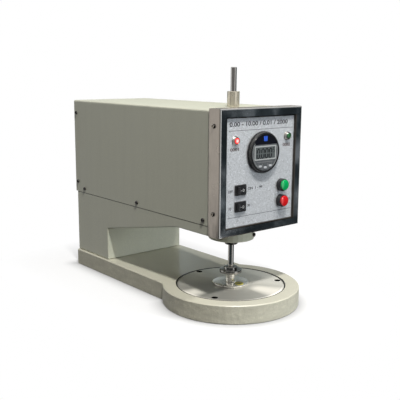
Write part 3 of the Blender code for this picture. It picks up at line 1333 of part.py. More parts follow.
def build_guide_bracket():
    low = ARM_DECK + GAP
    inner = GUIDE_HALF_SPAN
    outer = inner + GUIDE_LEG
    foot = outer + GUIDE_FOOT
    fillet = GUIDE_FILLET
    bridge = GUIDE_BRIDGE_TOP - GUIDE_BRIDGE
    foot_top = low + GUIDE_FOOT_THICKNESS
    right = [(inner, low), (foot, low), (foot, foot_top), (outer, foot_top)]
    right += arc((outer - fillet, GUIDE_BRIDGE_TOP - fillet), fillet, 0, 90, CORNER_STEPS)
    left = [(-x, z) for x, z in reversed(right)]
    under = arc((-inner + fillet, bridge - fillet), fillet, 180, 90, CORNER_STEPS)
    under += arc((inner - fillet, bridge - fillet), fillet, 90, 0, CORNER_STEPS)
    solid = prism(right + left + under, "Y", GUIDE_FRONT, GUIDE_BACK)
    bracket = add_object("guide_bracket", solid, ground_steel())
    embed = GUIDE_LEG / 2
    tongue = GUIDE_TONGUE_HALF
    shelf = [
        (-inner - embed, GUIDE_FRONT + embed),
        (DIAL_X - tongue, GUIDE_FRONT + embed),
        (DIAL_X - tongue, GUIDE_TONGUE_FRONT),
        (DIAL_X + tongue, GUIDE_TONGUE_FRONT),
        (DIAL_X + tongue, GUIDE_FRONT + embed),
        (inner + embed, GUIDE_FRONT + embed),
        (inner + embed, GUIDE_SHELF_BACK),
        (-inner - embed, GUIDE_SHELF_BACK),
    ]
    shelf_top = GUIDE_SHELF_Z + GUIDE_SHELF_THICKNESS
    fuse(bracket, "shelf", [prism(shelf, "Z", GUIDE_SHELF_Z, shelf_top)])
    reach = outer + OVERCUT
    middle = (GUIDE_FRONT + GUIDE_BACK) / 2
    top = GUIDE_BRIDGE_TOP + OVERCUT
    holes = [rod(TOP_BUSH_NECK_RADIUS + GAP, "Z", (0, 0, 0), bridge - OVERCUT, top)]
    low = GUIDE_SHELF_Z - OVERCUT
    high = shelf_top + OVERCUT
    holes.append(rod(STEM_RADIUS + GAP, "Z", (DIAL_X, STEM_Y, 0), low, high))
    for height in GUIDE_LIGHTENING_Z:
        holes.append(rod(GUIDE_LIGHTENING_RADIUS, "X", (0, middle, height), -reach, reach))
    cut(bracket, "bores", holes)


def pitch_radius(turn):
    """Distance from the cam axis to the roller's centre after a turn in degrees."""
    if turn <= CAM_RISE_ANGLE:
        return CAM_ROLLER_SPACING + CAM_PITCH * math.radians(turn)
    share = (turn - CAM_RISE_ANGLE) / (360.0 - CAM_RISE_ANGLE)
    return CAM_ROLLER_SPACING + CAM_LIFT * (1.0 + math.cos(math.pi * share)) / 2


def cam_outline():
    """Largest cam that clears the roller at every turn.

    Seen from the front the roller stands straight above the cam. A turn of t degrees brings
    the cam direction -t under it, so each outline radius is the nearest that the roller
    comes along that ray.
    """
    reach = ROLLER_RADIUS + GAP
    points = []
    for index in range(CAM_POINTS):
        direction = 360.0 * index / CAM_POINTS
        nearest = CAM_ROLLER_SPACING + CAM_LIFT
        for turn in range(360):
            pitch = pitch_radius(turn)
            apart = math.radians(direction + turn)
            side = pitch * math.sin(apart)
            ahead = pitch * math.cos(apart)
            if ahead > 0.0 and abs(side) < reach:
                nearest = min(nearest, ahead - math.sqrt(reach * reach - side * side))
        angle = math.radians(direction)
        points.append((nearest * math.sin(angle), CAM_Z + nearest * math.cos(angle)))
    return points


def build_cam():
    cam = add_object(
        "lift_cam",
        prism(cam_outline(), "Y", CAM_FRONT, CAM_FRONT + CAM_THICKNESS),
        ground_steel(),
        (0.0, CAM_FRONT, CAM_Z),
    )
    back = CAM_FRONT + CAM_THICKNESS
    hub = [
        (0.0, back - CAM_THICKNESS / 2),
        (CAM_HUB_RADIUS, back - CAM_THICKNESS / 2),
        (CAM_HUB_RADIUS, CAM_HUB_BACK),
        (CAM_SHAFT_RADIUS, CAM_HUB_BACK),
        (CAM_SHAFT_RADIUS, CAM_SHAFT_BACK),
        (0.0, CAM_SHAFT_BACK),
    ]
    fuse(cam, "shaft", [lathe(hub, "Y", (0, 0, CAM_Z), SMALL_ROUND_STEPS)])

    bore = ROLLER_PIN_RADIUS + RUNNING_GAP
    back = ROLLER_FRONT + ROLLER_WIDTH
    profile = [
        (bore, ROLLER_FRONT),
        (ROLLER_RADIUS - ROLLER_EDGE, ROLLER_FRONT),
        (ROLLER_RADIUS, ROLLER_FRONT + ROLLER_EDGE),
        (ROLLER_RADIUS, back - ROLLER_EDGE),
        (ROLLER_RADIUS - ROLLER_EDGE, back),
        (bore, back),
    ]
    solid = lathe(profile, "Y", (0, 0, ROLLER_Z), MID_ROUND_STEPS)
    add_object("cam_roller", solid, bright_steel(), (0.0, ROLLER_FRONT, ROLLER_Z))


def build_lift_arm():
    hub = rod(LIFT_HUB_RADIUS, "Z", (0, 0, 0), LIFT_HUB_BOTTOM, LIFT_HUB_TOP, MID_ROUND_STEPS)
    arm = add_object("lift_arm", hub, ground_steel())
    inside = LIFT_HUB_RADIUS - LIFT_SINK
    finger_low = LIFT_FINGER_TOP - LIFT_FINGER_THICKNESS
    tip = LIFT_FINGER_TIP_RADIUS
    finger = [(tip, -inside), (-tip, -inside)]
    finger += [(DIAL_X + x, STEM_Y + y) for x, y in arc((0.0, 0.0), tip, 180, 360, TIP_STEPS)]
    bar_half = LIFT_BAR_HALF
    bar_high = LIFT_HUB_TOP - LIFT_BAR_DROP
    bar_low = bar_high - LIFT_BAR_THICKNESS
    lug = [(-LIFT_LUG_HALF, bar_high), (-LIFT_LUG_HALF, ROLLER_Z)]
    lug += arc((0.0, ROLLER_Z), LIFT_LUG_HALF, 180, 360, TIP_STEPS)[1:]
    lug += [(LIFT_LUG_HALF, bar_high)]
    fuse(arm, "finger", [prism(finger, "Z", finger_low, LIFT_FINGER_TOP)])
    bar = box((-bar_half, bar_half), (inside, LIFT_LUG_BACK - GAP), (bar_low, bar_high - GAP))
    fuse(arm, "bar", [bar])
    fuse(arm, "lug", [prism(lug, "Y", LIFT_LUG_FRONT, LIFT_LUG_BACK)])
    pin_end = ROLLER_FRONT + ROLLER_WIDTH + GAP
    shoulder = ROLLER_FRONT - GAP
    pin = [
        (0.0, LIFT_LUG_FRONT + GAP),
        (ROLLER_PIN_HEAD_RADIUS, LIFT_LUG_FRONT + GAP),
        (ROLLER_PIN_HEAD_RADIUS, shoulder),
        (ROLLER_PIN_RADIUS, shoulder),
        (ROLLER_PIN_RADIUS, pin_end),
        (ROLLER_PIN_HEAD_RADIUS, pin_end),
        (ROLLER_PIN_HEAD_RADIUS, pin_end + ROLLER_PIN_HEAD),
        (0.0, pin_end + ROLLER_PIN_HEAD),
    ]
    fuse(arm, "pin", [lathe(pin, "Y", (0, 0, ROLLER_Z), SMALL_ROUND_STEPS)])
    bore = rod(SPINDLE_BORE, "Z", (0, 0, 0), LIFT_HUB_BOTTOM - OVERCUT, LIFT_HUB_TOP + OVERCUT)
    cut(arm, "bore", [bore])


def build_motor():
    box_back = MOTOR_FRONT + MOTOR_GEARBOX_DEPTH
    half = MOTOR_HALF_WIDTH
    heights = (MOTOR_BOTTOM, MOTOR_TOP)
    outline = rounded_outline((-half, half), heights, MOTOR_EDGE * 2, SMALL_CORNER_STEPS)
    motor = add_object("gear_motor", prism(outline, "Y", MOTOR_FRONT, box_back), dark_steel())
    foot = box(
        (-MOTOR_FOOT_HALF, MOTOR_FOOT_HALF),
        (MOTOR_FRONT + MOTOR_EDGE, MOTOR_FOOT_BACK),
        (MOTOR_BOTTOM, MOTOR_BOTTOM + MOTOR_FOOT_THICKNESS),
    )
    fuse(motor, "foot", [foot])
    can = [
        (0.0, MOTOR_FRONT - MOTOR_SPIGOT_LENGTH),
        (MOTOR_SPIGOT_RADIUS, MOTOR_FRONT - MOTOR_SPIGOT_LENGTH),
        (MOTOR_SPIGOT_RADIUS, box_back - MOTOR_EDGE),
        (MOTOR_CAN_RADIUS, box_back - MOTOR_EDGE),
        (MOTOR_CAN_RADIUS, MOTOR_CAN_BACK - MOTOR_EDGE),
        (MOTOR_CAN_RADIUS - MOTOR_EDGE, MOTOR_CAN_BACK),
        (MOTOR_CAP_RADIUS, MOTOR_CAN_BACK),
        (MOTOR_CAP_RADIUS, MOTOR_CAN_BACK + MOTOR_CAP_LENGTH),
        (0.0, MOTOR_CAN_BACK + MOTOR_CAP_LENGTH),
    ]
    fuse(motor, "can", [lathe(can, "Y", (0, 0, CAM_Z), MID_ROUND_STEPS)])
    socket = rod(
        CAM_SHAFT_RADIUS + RUNNING_GAP,
        "Y",
        (0, 0, CAM_Z),
        MOTOR_FRONT - MOTOR_SPIGOT_LENGTH - OVERCUT,
        CAM_SHAFT_BACK + RUNNING_GAP,
    )
    cut(motor, "socket", [socket])


def board_components():
    """Blocks on the board as (centre, size): transformer, relays, terminal row and heat sink."""
    middle = sum(WEB_POSITIONS) / 2
    blocks = [(TRANSFORMER_PLACE, TRANSFORMER_SIZE)]
    blocks += [(place, RELAY_SIZE) for place in RELAY_PLACES]
    blocks += [(TERMINAL_PLACE, TERMINAL_SIZE), (HEAT_SINK_PLACE, HEAT_SINK_SIZE)]
    return [((x, middle + y), size) for (x, y), size in blocks]


def build_board():
    front, back = WEB_POSITIONS
    depths = (front - BOARD_OVERHANG, back + BOARD_OVERHANG)
    widths = (-BOARD_HALF_WIDTH, BOARD_HALF_WIDTH)
    outline = rounded_outline(widths, depths, BOARD_OVERHANG / 2, SMALL_CORNER_STEPS)
    finish = material("green circuit board", (0.02, 0.16, 0.07), 0.4, 0.0)
    board = add_object("control_board", prism(outline, "Z", BOARD_BOTTOM, BOARD_TOP), finish)
    forms = []
    post_top = BOARD_BOTTOM + BOARD_SINK
    for x in (-BOARD_POST_X, BOARD_POST_X):
        for y in WEB_POSITIONS:
            forms.append(rod(BOARD_POST_RADIUS, "Z", (x, y, 0), WEB_TOP + GAP, post_top, HOLE_STEPS))
    low = BOARD_TOP - BOARD_SINK
    for (x, y), (width, depth, height) in board_components():
        x_range = (x - width / 2, x + width / 2)
        y_range = (y - depth / 2, y + depth / 2)
        forms.append(box(x_range, y_range, (low, BOARD_TOP + height)))
    for side in (-1, 1):
        centre = (TRANSFORMER_PLACE[0] + side * CAPACITOR_PITCH / 2, front + CAPACITOR_DEPTH, 0)
        top = BOARD_TOP + CAPACITOR_HEIGHT
        forms.append(rod(CAPACITOR_RADIUS, "Z", centre, low, top, SMALL_ROUND_STEPS))
    fuse(board, "components", forms)


def fuse_groove():
    """Ring shaped cutter of the joint round the fuse drawer."""
    centre = (INLET_X, INLET_Z + FUSE_LIFT)
    corner = SWITCH_CORNER
    outer = centred_outline(centre, FUSE_WIDTH, FUSE_HEIGHT, corner, TINY_CORNER_STEPS)
    width = FUSE_WIDTH - 2 * FUSE_GROOVE
    height = FUSE_HEIGHT - 2 * FUSE_GROOVE
    inner = centred_outline(centre, width, height, corner / 2, TINY_CORNER_STEPS)
    low = INLET_BACK - FUSE_GROOVE
    high = INLET_BACK + OVERCUT
    rings = []
    for points, depth in ((outer, low), (outer, high), (inner, high), (inner, low)):
        rings.append([Vector((x, depth, z)) for x, z in points])
    return loft(rings, True)


def build_inlet():
    seat = REAR_OUTSIDE + GAP
    centre = (INLET_X, INLET_Z)
    outline = centred_outline(centre, INLET_FLANGE_WIDTH, INLET_FLANGE_HEIGHT, INLET_CORNER)
    inlet = add_object("mains_inlet", prism(outline, "Y", seat, INLET_BACK), black_plastic())
    soften(inlet, INLET_FLANGE / 4, 1)
    size = (INLET_BODY_WIDTH, INLET_BODY_HEIGHT)
    shell = centred_outline(centre, size[0], size[1], SWITCH_CORNER, TINY_CORNER_STEPS)
    fuse(inlet, "housing", [prism(shell, "Y", seat - INLET_BODY_DEPTH, seat + INLET_FLANGE / 2)])

    socket_z = INLET_Z - SOCKET_DROP
    half = SOCKET_WIDTH / 2
    tall = SOCKET_HEIGHT / 2
    cavity = [
        (INLET_X - half, socket_z - tall),
        (INLET_X + half, socket_z - tall),
        (INLET_X + half, socket_z + tall - SOCKET_BEVEL),
        (INLET_X + half - SOCKET_BEVEL, socket_z + tall),
        (INLET_X - half + SOCKET_BEVEL, socket_z + tall),
        (INLET_X - half, socket_z + tall - SOCKET_BEVEL),
    ]
    socket_floor = INLET_BACK - SOCKET_DEPTH
    well_centre = (INLET_X, INLET_Z + POWER_LIFT)
    well = rocker_well(well_centre)
    cuts = [
        prism(cavity, "Y", socket_floor, INLET_BACK + OVERCUT),
        prism(well, "Y", INLET_BACK - ROCKER_WELL, INLET_BACK + OVERCUT),
    ]
    cuts.append(fuse_groove())
    cut(inlet, "openings", cuts)

    pins = []
    for column, lift in ((-1, 0.0), (0, PIN_EARTH_LIFT), (1, 0.0)):
        x = INLET_X + column * PIN_PITCH
        low = socket_z - tall + PIN_LOW + lift
        x_range = (x - PIN_WIDTH / 2, x + PIN_WIDTH / 2)
        pins.append(box(x_range, (socket_floor - GAP, socket_floor + PIN_LENGTH), (low, low + PIN_HEIGHT)))
    fuse(inlet, "pins", pins)

    pivot_depth = INLET_BACK - ROCKER_AXIS_DEPTH
    outline = rocker_outline()
    side = [(INLET_X + x, pivot_depth - y) for x, y in outline]
    half = ROCKER_HEIGHT / 2 - ROCKER_CLEARANCE
    solid = prism(side, "Z", well_centre[1] - half, well_centre[1] + half)
    add_object("power_rocker", solid, black_plastic(), (INLET_X, pivot_depth, well_centre[1]))


def build():
    clear_scene()
    build_base()
    build_anvil()
    build_arm()
    build_nose_screws()
    build_cover()
    build_side_screws()
    build_rear_panel()
    build_front_frame()
    build_panel()
    build_indicator()
    build_indicator_case()
    build_lamps()
    build_switches()
    build_buttons()
    build_spindle()
    build_bushes()
    build_guide_bracket()
    build_cam()
    build_lift_arm()
    build_motor()
    build_board()
    build_inlet()


build()
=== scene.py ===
"""Fabric thickness tester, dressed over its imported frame.

The frame gives every place. Painted castings and sheet keep their solids and get their
finishes here; turned parts, screws, lamps, buttons, the indicator and the panel's print
are made finer on the same places.
"""

import json
import math

import bmesh
import bpy
from bpy.props import FloatProperty, FloatVectorProperty, IntProperty, PointerProperty
from bpy.types import Operator, Panel, PropertyGroup
from mathutils import Matrix, Vector

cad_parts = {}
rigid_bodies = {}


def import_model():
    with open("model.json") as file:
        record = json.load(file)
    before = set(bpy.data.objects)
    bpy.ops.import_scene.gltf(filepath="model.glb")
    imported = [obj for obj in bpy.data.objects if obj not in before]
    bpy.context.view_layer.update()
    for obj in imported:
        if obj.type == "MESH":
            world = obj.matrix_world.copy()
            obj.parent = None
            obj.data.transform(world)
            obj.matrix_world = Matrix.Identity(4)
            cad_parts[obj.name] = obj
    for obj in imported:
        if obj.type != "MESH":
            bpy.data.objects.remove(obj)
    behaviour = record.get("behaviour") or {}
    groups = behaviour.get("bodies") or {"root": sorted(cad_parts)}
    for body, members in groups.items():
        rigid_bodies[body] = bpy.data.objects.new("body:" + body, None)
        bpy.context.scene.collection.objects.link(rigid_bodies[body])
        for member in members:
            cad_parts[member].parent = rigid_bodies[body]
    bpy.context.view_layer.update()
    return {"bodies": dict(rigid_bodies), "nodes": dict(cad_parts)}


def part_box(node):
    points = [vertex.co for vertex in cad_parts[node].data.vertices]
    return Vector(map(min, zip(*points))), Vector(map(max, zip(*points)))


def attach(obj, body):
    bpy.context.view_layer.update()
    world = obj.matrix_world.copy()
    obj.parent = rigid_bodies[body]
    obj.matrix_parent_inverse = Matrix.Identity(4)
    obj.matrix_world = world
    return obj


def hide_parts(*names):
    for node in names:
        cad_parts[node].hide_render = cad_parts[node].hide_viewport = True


bl_info = {
    "name": "Fabric Thickness Tester",
    "version": (1, 0, 0),
    "blender": (4, 5, 0),
    "location": "View3D > Sidebar > Tester",
    "description": "Finishes and fine parts of a bench fabric thickness tester",
    "category": "Object",
}

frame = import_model()

MM = 0.001
PROUD = 0.03 * MM
SHARP_ANGLE = math.radians(32)
AXES = {"X": Vector((1, 0, 0)), "Y": Vector((0, 1, 0)), "Z": Vector((0, 0, 1))}
FORWARD = Vector((0, -1, 0))
BLACK = (0.0, 0.0, 0.0)

FRAME_LOW, FRAME_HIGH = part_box("front_frame")
WINDOW_REACH = FRAME_HIGH.x - 5 * MM
WINDOW_TOP = FRAME_HIGH.z - 5 * MM
COVER_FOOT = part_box("top_cover")[0].z
PANEL_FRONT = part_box("instrument_panel")[0].y
ANVIL_LOW, ANVIL_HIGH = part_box("anvil_plate")
ANVIL_MIDDLE = (ANVIL_LOW + ANVIL_HIGH) / 2
ANVIL_RIM = (ANVIL_HIGH.x - ANVIL_LOW.x) / 2
SPINDLE_LOW, SPINDLE_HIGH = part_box("spindle")
SPINDLE_MIDDLE = (SPINDLE_LOW + SPINDLE_HIGH) / 2
SPINDLE_RADIUS = (SPINDLE_HIGH.x - SPINDLE_LOW.x) / 2
SPINDLE_BORE = SPINDLE_RADIUS + 0.02 * MM

# Painted shade towards one side and painted highlight fans of the turned anvil: heading in degrees,
# half widths of the whole fan and of its bright middle in degrees, start as a share of the anvil's radius
PAINTED_SHADE_HEADING = 262
PAINTED_HIGHLIGHT_FANS = ((163, 19, 4, 0.4), (270, 15, 3, 0.66))
PAINTED_HIGHLIGHT_COLOUR = (1.0, 0.96, 0.86)

# Plain finishes of hidden parts: node, colour, pitch in mm, contrast, roughness, metal
HIDDEN_FINISHES = {
    "guide_steel": ("guide_bracket", (0.34, 0.34, 0.33), 8, 0.1, (0.4, 0.6), 1.0),
    "motor_grey": ("gear_motor", (0.10, 0.105, 0.11), 5, 0.12, (0.4, 0.6), 0.4),
    "circuit_board": ("control_board", (0.012, 0.085, 0.03), 3, 0.25, (0.3, 0.5), 0.0),
}

# Print of the panel in mm: the levels and ends of its two lines, and its numbers with
# their words, the setting and share of their height, left end, level, ink and stretch
RULED_LEVELS = (245.5, 134.9)
RULED_ENDS = (-57.0, 60.0)
NUMBERS = (
    ("header_numbers", "0.00 - 10.00 / 0.01 / 2000", "header_height", 1.0, -55.5, 250.9, "ink", 1.32),
    ("power_number", "0001", "number_height", 1.15, -54.0, 220.2, "warm", 1.5),
    ("ready_number", "0002", "number_height", 1.15, 40.6, 221.0, "warm", 1.3),
    ("mode_off", "OFF", "number_height", 1.0, -56.6, 167.4, "ink", 1.0),
    ("mode_on", "ON  1 - 99", "number_height", 1.0, -22.4, 168.6, "ink", 1.25),
    ("time_short", "10", "number_height", 1.0, -54.8, 145.3, "ink", 1.1),
    ("time_long", "30", "number_height", 1.0, -22.4, 146.6, "ink", 1.1),
    ("start_mark", "I", "sign_height", 1.0, 55.6, 169.2, "ink", 1.0),
    ("stop_mark", "O", "sign_height", 1.0, 54.8, 147.0, "ink", 1.0),
)
LETTER_WEIGHT = 0.03

# Collar and foot of the spindle
COLLAR_LIP = 4.4 * MM
COLLAR_NECK = 9.4 * MM
FOOT_THICKNESS = 2.0 * MM
FOOT_STUB = 6.8 * MM
LABEL_HEADING = Vector((0.64, 0.77))
LABEL_OFFSET = (2.0 * MM, -15.2 * MM)
LABEL_THICKNESS = 0.05 * MM

# Indicator
FACE_RADIUS = 23.4 * MM
FACE_RECESS = 0.7 * MM
FACE_THICKNESS = 0.1 * MM
FACE_SPLIT = 226.4 * MM
PATCH_LEVEL = 233.6 * MM
READING = "0000"
FINE_DIGIT = "5"
DIGIT_SLANT = 0.06
TICK_SPANS = ((148, 236), (-52, 24))
FACE_LINES = (
    ((-8.6, 203.0), (-11.0, 192.6)),
    ((-2.6, 201.5), (-3.6, 190.5)),
    ((7.0, 201.5), (8.0, 190.5)),
    ((13.0, 203.0), (15.4, 192.6)),
    ((-12.0, 203.6), (16.4, 203.6)),
)

# Bars of the digits shown, a to g from the top clockwise with g in the middle
SEGMENTS = {"0": "abcdef", "5": "afgcd"}

# Facets of round parts that aren't turned on the spindle's axis
SCREW_STEPS = 48
FITTING_STEPS = 64
BEZEL_STEPS = 128

# Lamps of the stage: place, height aimed at, size, colour, and whether gloss shows them
LAMPS = (
    ("key", (-0.40, -0.84, 1.64), 0.1, 0.13, (1.0, 0.985, 0.96), True),
    ("right", (0.42, -0.84, 1.62), 0.1, 0.2, (1.0, 0.985, 0.96), True),
    ("fill", (0.75, -1.65, 0.22), 0.14, 0.6, (0.86, 0.93, 1.0), False),
    ("rear", (0.2, 2.0, 0.8), 0.15, 0.8, (1.0, 0.99, 0.97), True),
)

# Cards that only reflections see: headings in degrees, distances, levels, colour setting
UPRIGHT = (0.0, 0.85)
GROUND = (4 * MM, 4 * MM)
CARDS = (
    ("right_wall", (56, 151), (1.7, 1.7), UPRIGHT, "card_colour"),
    ("right_ground", (56, 151), (0.16, 1.7), GROUND, "card_colour"),
    ("front_left_wall", (181, 250), (1.7, 1.7), UPRIGHT, "left_colour"),
    ("front_left_ground", (181, 250), (0.7, 1.7), GROUND, "left_colour"),
    ("front_left_near", (181, 250), (0.16, 0.7), GROUND, "card_colour"),
    ("left_wall", (250, 302), (1.7, 1.7), UPRIGHT, "left_colour"),
    ("left_ground", (250, 302), (0.7, 1.7), GROUND, "left_colour"),
    ("left_near", (250, 302), (0.16, 0.7), GROUND, "card_colour"),
    ("back_wall", (-20, 100), (1.5, 1.5), (0.0, 0.95), "back_colour"),
)
FLOOR_HALF = 6.0


def colour_property(name, description, default):
    return FloatVectorProperty(
        name=name, description=description, default=default, subtype="COLOR", size=3, min=0, max=1
    )


def length_property(name, description, default):
    return FloatProperty(name=name, description=description, default=default, unit="LENGTH", min=0)


def number_property(name, description, default):
    return FloatProperty(name=name, description=description, default=default, min=0)


def angle_property(name, description, degrees):
    return FloatProperty(name=name, description=description, default=math.radians(degrees), unit="ROTATION")


def count_property(name, description, default, least):
    return IntProperty(name=name, description=description, default=default, min=least)


class PaintSettings(PropertyGroup):
    base_colour: colour_property("Base paint", "Cream paint of the base", (0.605, 0.585, 0.478))
    wall_colour: colour_property("Base wall", "Rough cast wall of the base", (0.572, 0.552, 0.44))
    body_colour: colour_property("Body paint", "Grey beige paint of arm and cover", (0.575, 0.578, 0.470))
    # Gap shade: painted shade of a gap round the anvil, on the base's top.
    gap_shade_colour: colour_property("Gap", "Dirt in the gap round the anvil", (0.02, 0.02, 0.018))
    peel_pitch: length_property("Peel pitch", "Spacing of the fine unevenness in the paint", 1.1 * MM)
    peel_depth: length_property("Peel depth", "Depth of that unevenness", 0.05 * MM)


class SteelSettings(PropertyGroup):
    bright: colour_property("Bright steel", "Polished turned parts", (0.52, 0.505, 0.485))
    ground: colour_property("Ground steel", "Anvil and inner steel parts", (0.73, 0.71, 0.64))
    blackened: colour_property("Blackened steel", "Screws", (0.06, 0.057, 0.055))
    # Sunk screws: blackened screws of the anvil; the same colour is painted as shade on the walls of their
    # holes.
    sunk: colour_property("Sunk screws", "Dark sunk screws of the anvil", (0.012, 0.011, 0.010))
    flange: colour_property("Flange", "Side flanges of the front frame", (0.40, 0.355, 0.305))
    face: colour_property("Frame face", "Polish of the frame's face", (0.52, 0.54, 0.57))
    # Frame rim: colour of the painted highlight along the outer edge of the frame's face.
    rim: colour_property("Frame rim", "Worn outer edge of the frame's face", (0.50, 0.50, 0.49))
    rounds: count_property("Rounds", "Facets of a turned part", 72, 24)


class PanelSettings(PropertyGroup):
    silver: colour_property("Panel", "Grained silver of the panel", (0.50, 0.515, 0.53))
    ink: colour_property("Ink", "Printed lines and numbers", (0.035, 0.035, 0.04))
    warm_ink: colour_property("Warm ink", "Numbers under the lamps", (0.085, 0.05, 0.045))
    line_width: length_property("Line width", "Width of the two ruled lines", 0.55 * MM)
    number_height: length_property("Number height", "Height of the numbers at the switches", 3.4 * MM)
    header_height: length_property("Header height", "Height of the numbers in the header", 5.6 * MM)
    sign_height: length_property("Sign height", "Height of the signs at the buttons", 3.0 * MM)


class IndicatorSettings(PropertyGroup):
    body: colour_property("Body", "Black body of the indicator", (0.016, 0.016, 0.017))
    gloss: colour_property("Upper face", "Glossy upper part of the face", (0.006, 0.006, 0.010))
    lower: colour_property("Lower face", "Dark grey lower part of the face", (0.075, 0.08, 0.085))
    display: colour_property("Display", "Display pane behind the digits", (0.11, 0.122, 0.122))
    digits: colour_property("Digits", "Dark digits of the display", (0.010, 0.011, 0.012))
    surround: colour_property("Surround", "Light border of the display", (0.42, 0.43, 0.42))
    patch: colour_property("Patch", "Plain blue patch above the display", (0.03, 0.10, 0.55))
    key: colour_property("Keys", "Light grey keys", (0.42, 0.43, 0.44))
    # Teeth: a plain paler grey for the grip teeth.
    teeth: colour_property("Teeth", "Worn grip teeth of the bezel", (0.13, 0.13, 0.125))
    tooth_count: count_property("Tooth count", "Grip teeth round the bezel", 110, 20)


class ControlSettings(PropertyGroup):
    start: colour_property("Start", "Cap of the start button", (0.0, 0.36, 0.09))
    stop: colour_property("Stop", "Cap of the stop button", (0.62, 0.008, 0.01))
    plastic: colour_property("Plastic", "Black switches and collars", (0.014, 0.014, 0.015))
    mark: colour_property("Mark", "Marks on the rockers", (0.45, 0.45, 0.44))
    lit: colour_property("Lit lens", "Power lamp", (0.85, 0.03, 0.03))
    dark: colour_property("Dark lens", "Ready lamp", (0.015, 0.10, 0.03))


class StudioSettings(PropertyGroup):
    camera_place: FloatVectorProperty(
        name="Camera", description="Place of the camera", default=(-0.61465, -0.77137, 0.31818), unit="LENGTH"
    )
    heading: angle_property("Heading", "Turn from +Y", 39.94)
    tilt: angle_property("Tilt", "Downwards tilt", 10.89)
    roll: angle_property("Roll", "Turn about the view", 0.386)
    lens: number_property("Lens", "Focal length in mm on a 36 mm sensor", 60.24)
    key_power: number_property("Key power", "Overhead lamp, W", 28.0)
    right_power: number_property("Right power", "Overhead right lamp, W", 12.0)
    fill_power: number_property("Fill power", "Front right lamp, W", 14.0)
    rear_power: number_property("Rear power", "Lamp behind, W", 8.0)
    ambient: number_property("Ambient", "World light on the object", 0.22)
    floor_grey: number_property("Floor", "Reflectance of the floor", 0.12)
    shadow_reach: length_property("Shadow reach", "Width of the floor shadow round the foot", 0.13)
    # The contact reach and shade set a painted contact shadow round the foot.
    contact_reach: length_property("Contact reach", "Width of the dark rim under the foot", 0.030)
    contact_shade: number_property("Contact shade", "Depth of that rim", 0.45)
    floor_lift: number_property("Floor lift", "Light added to the floor as seen", 0.50)
    card_colour: colour_property("Cards", "Dark cards seen in reflections", (0.042, 0.052, 0.056))
    left_colour: colour_property("Left cards", "Grey cards on the left", (0.21, 0.205, 0.20))
    back_colour: colour_property("Back card", "Grey card behind", (0.40, 0.445, 0.44))


SETTINGS = (
    ("paint", PaintSettings),
    ("steel", SteelSettings),
    ("panel_print", PanelSettings),
    ("indicator", IndicatorSettings),
    ("controls", ControlSettings),
    ("studio", StudioSettings),
)


class TesterSettings(PropertyGroup):
    paint: PointerProperty(type=PaintSettings)
    steel: PointerProperty(type=SteelSettings)
    panel_print: PointerProperty(type=PanelSettings)
    indicator: PointerProperty(type=IndicatorSettings)
    controls: PointerProperty(type=ControlSettings)
    studio: PointerProperty(type=StudioSettings)


def settings():
    return bpy.context.scene.tester


# Nodes


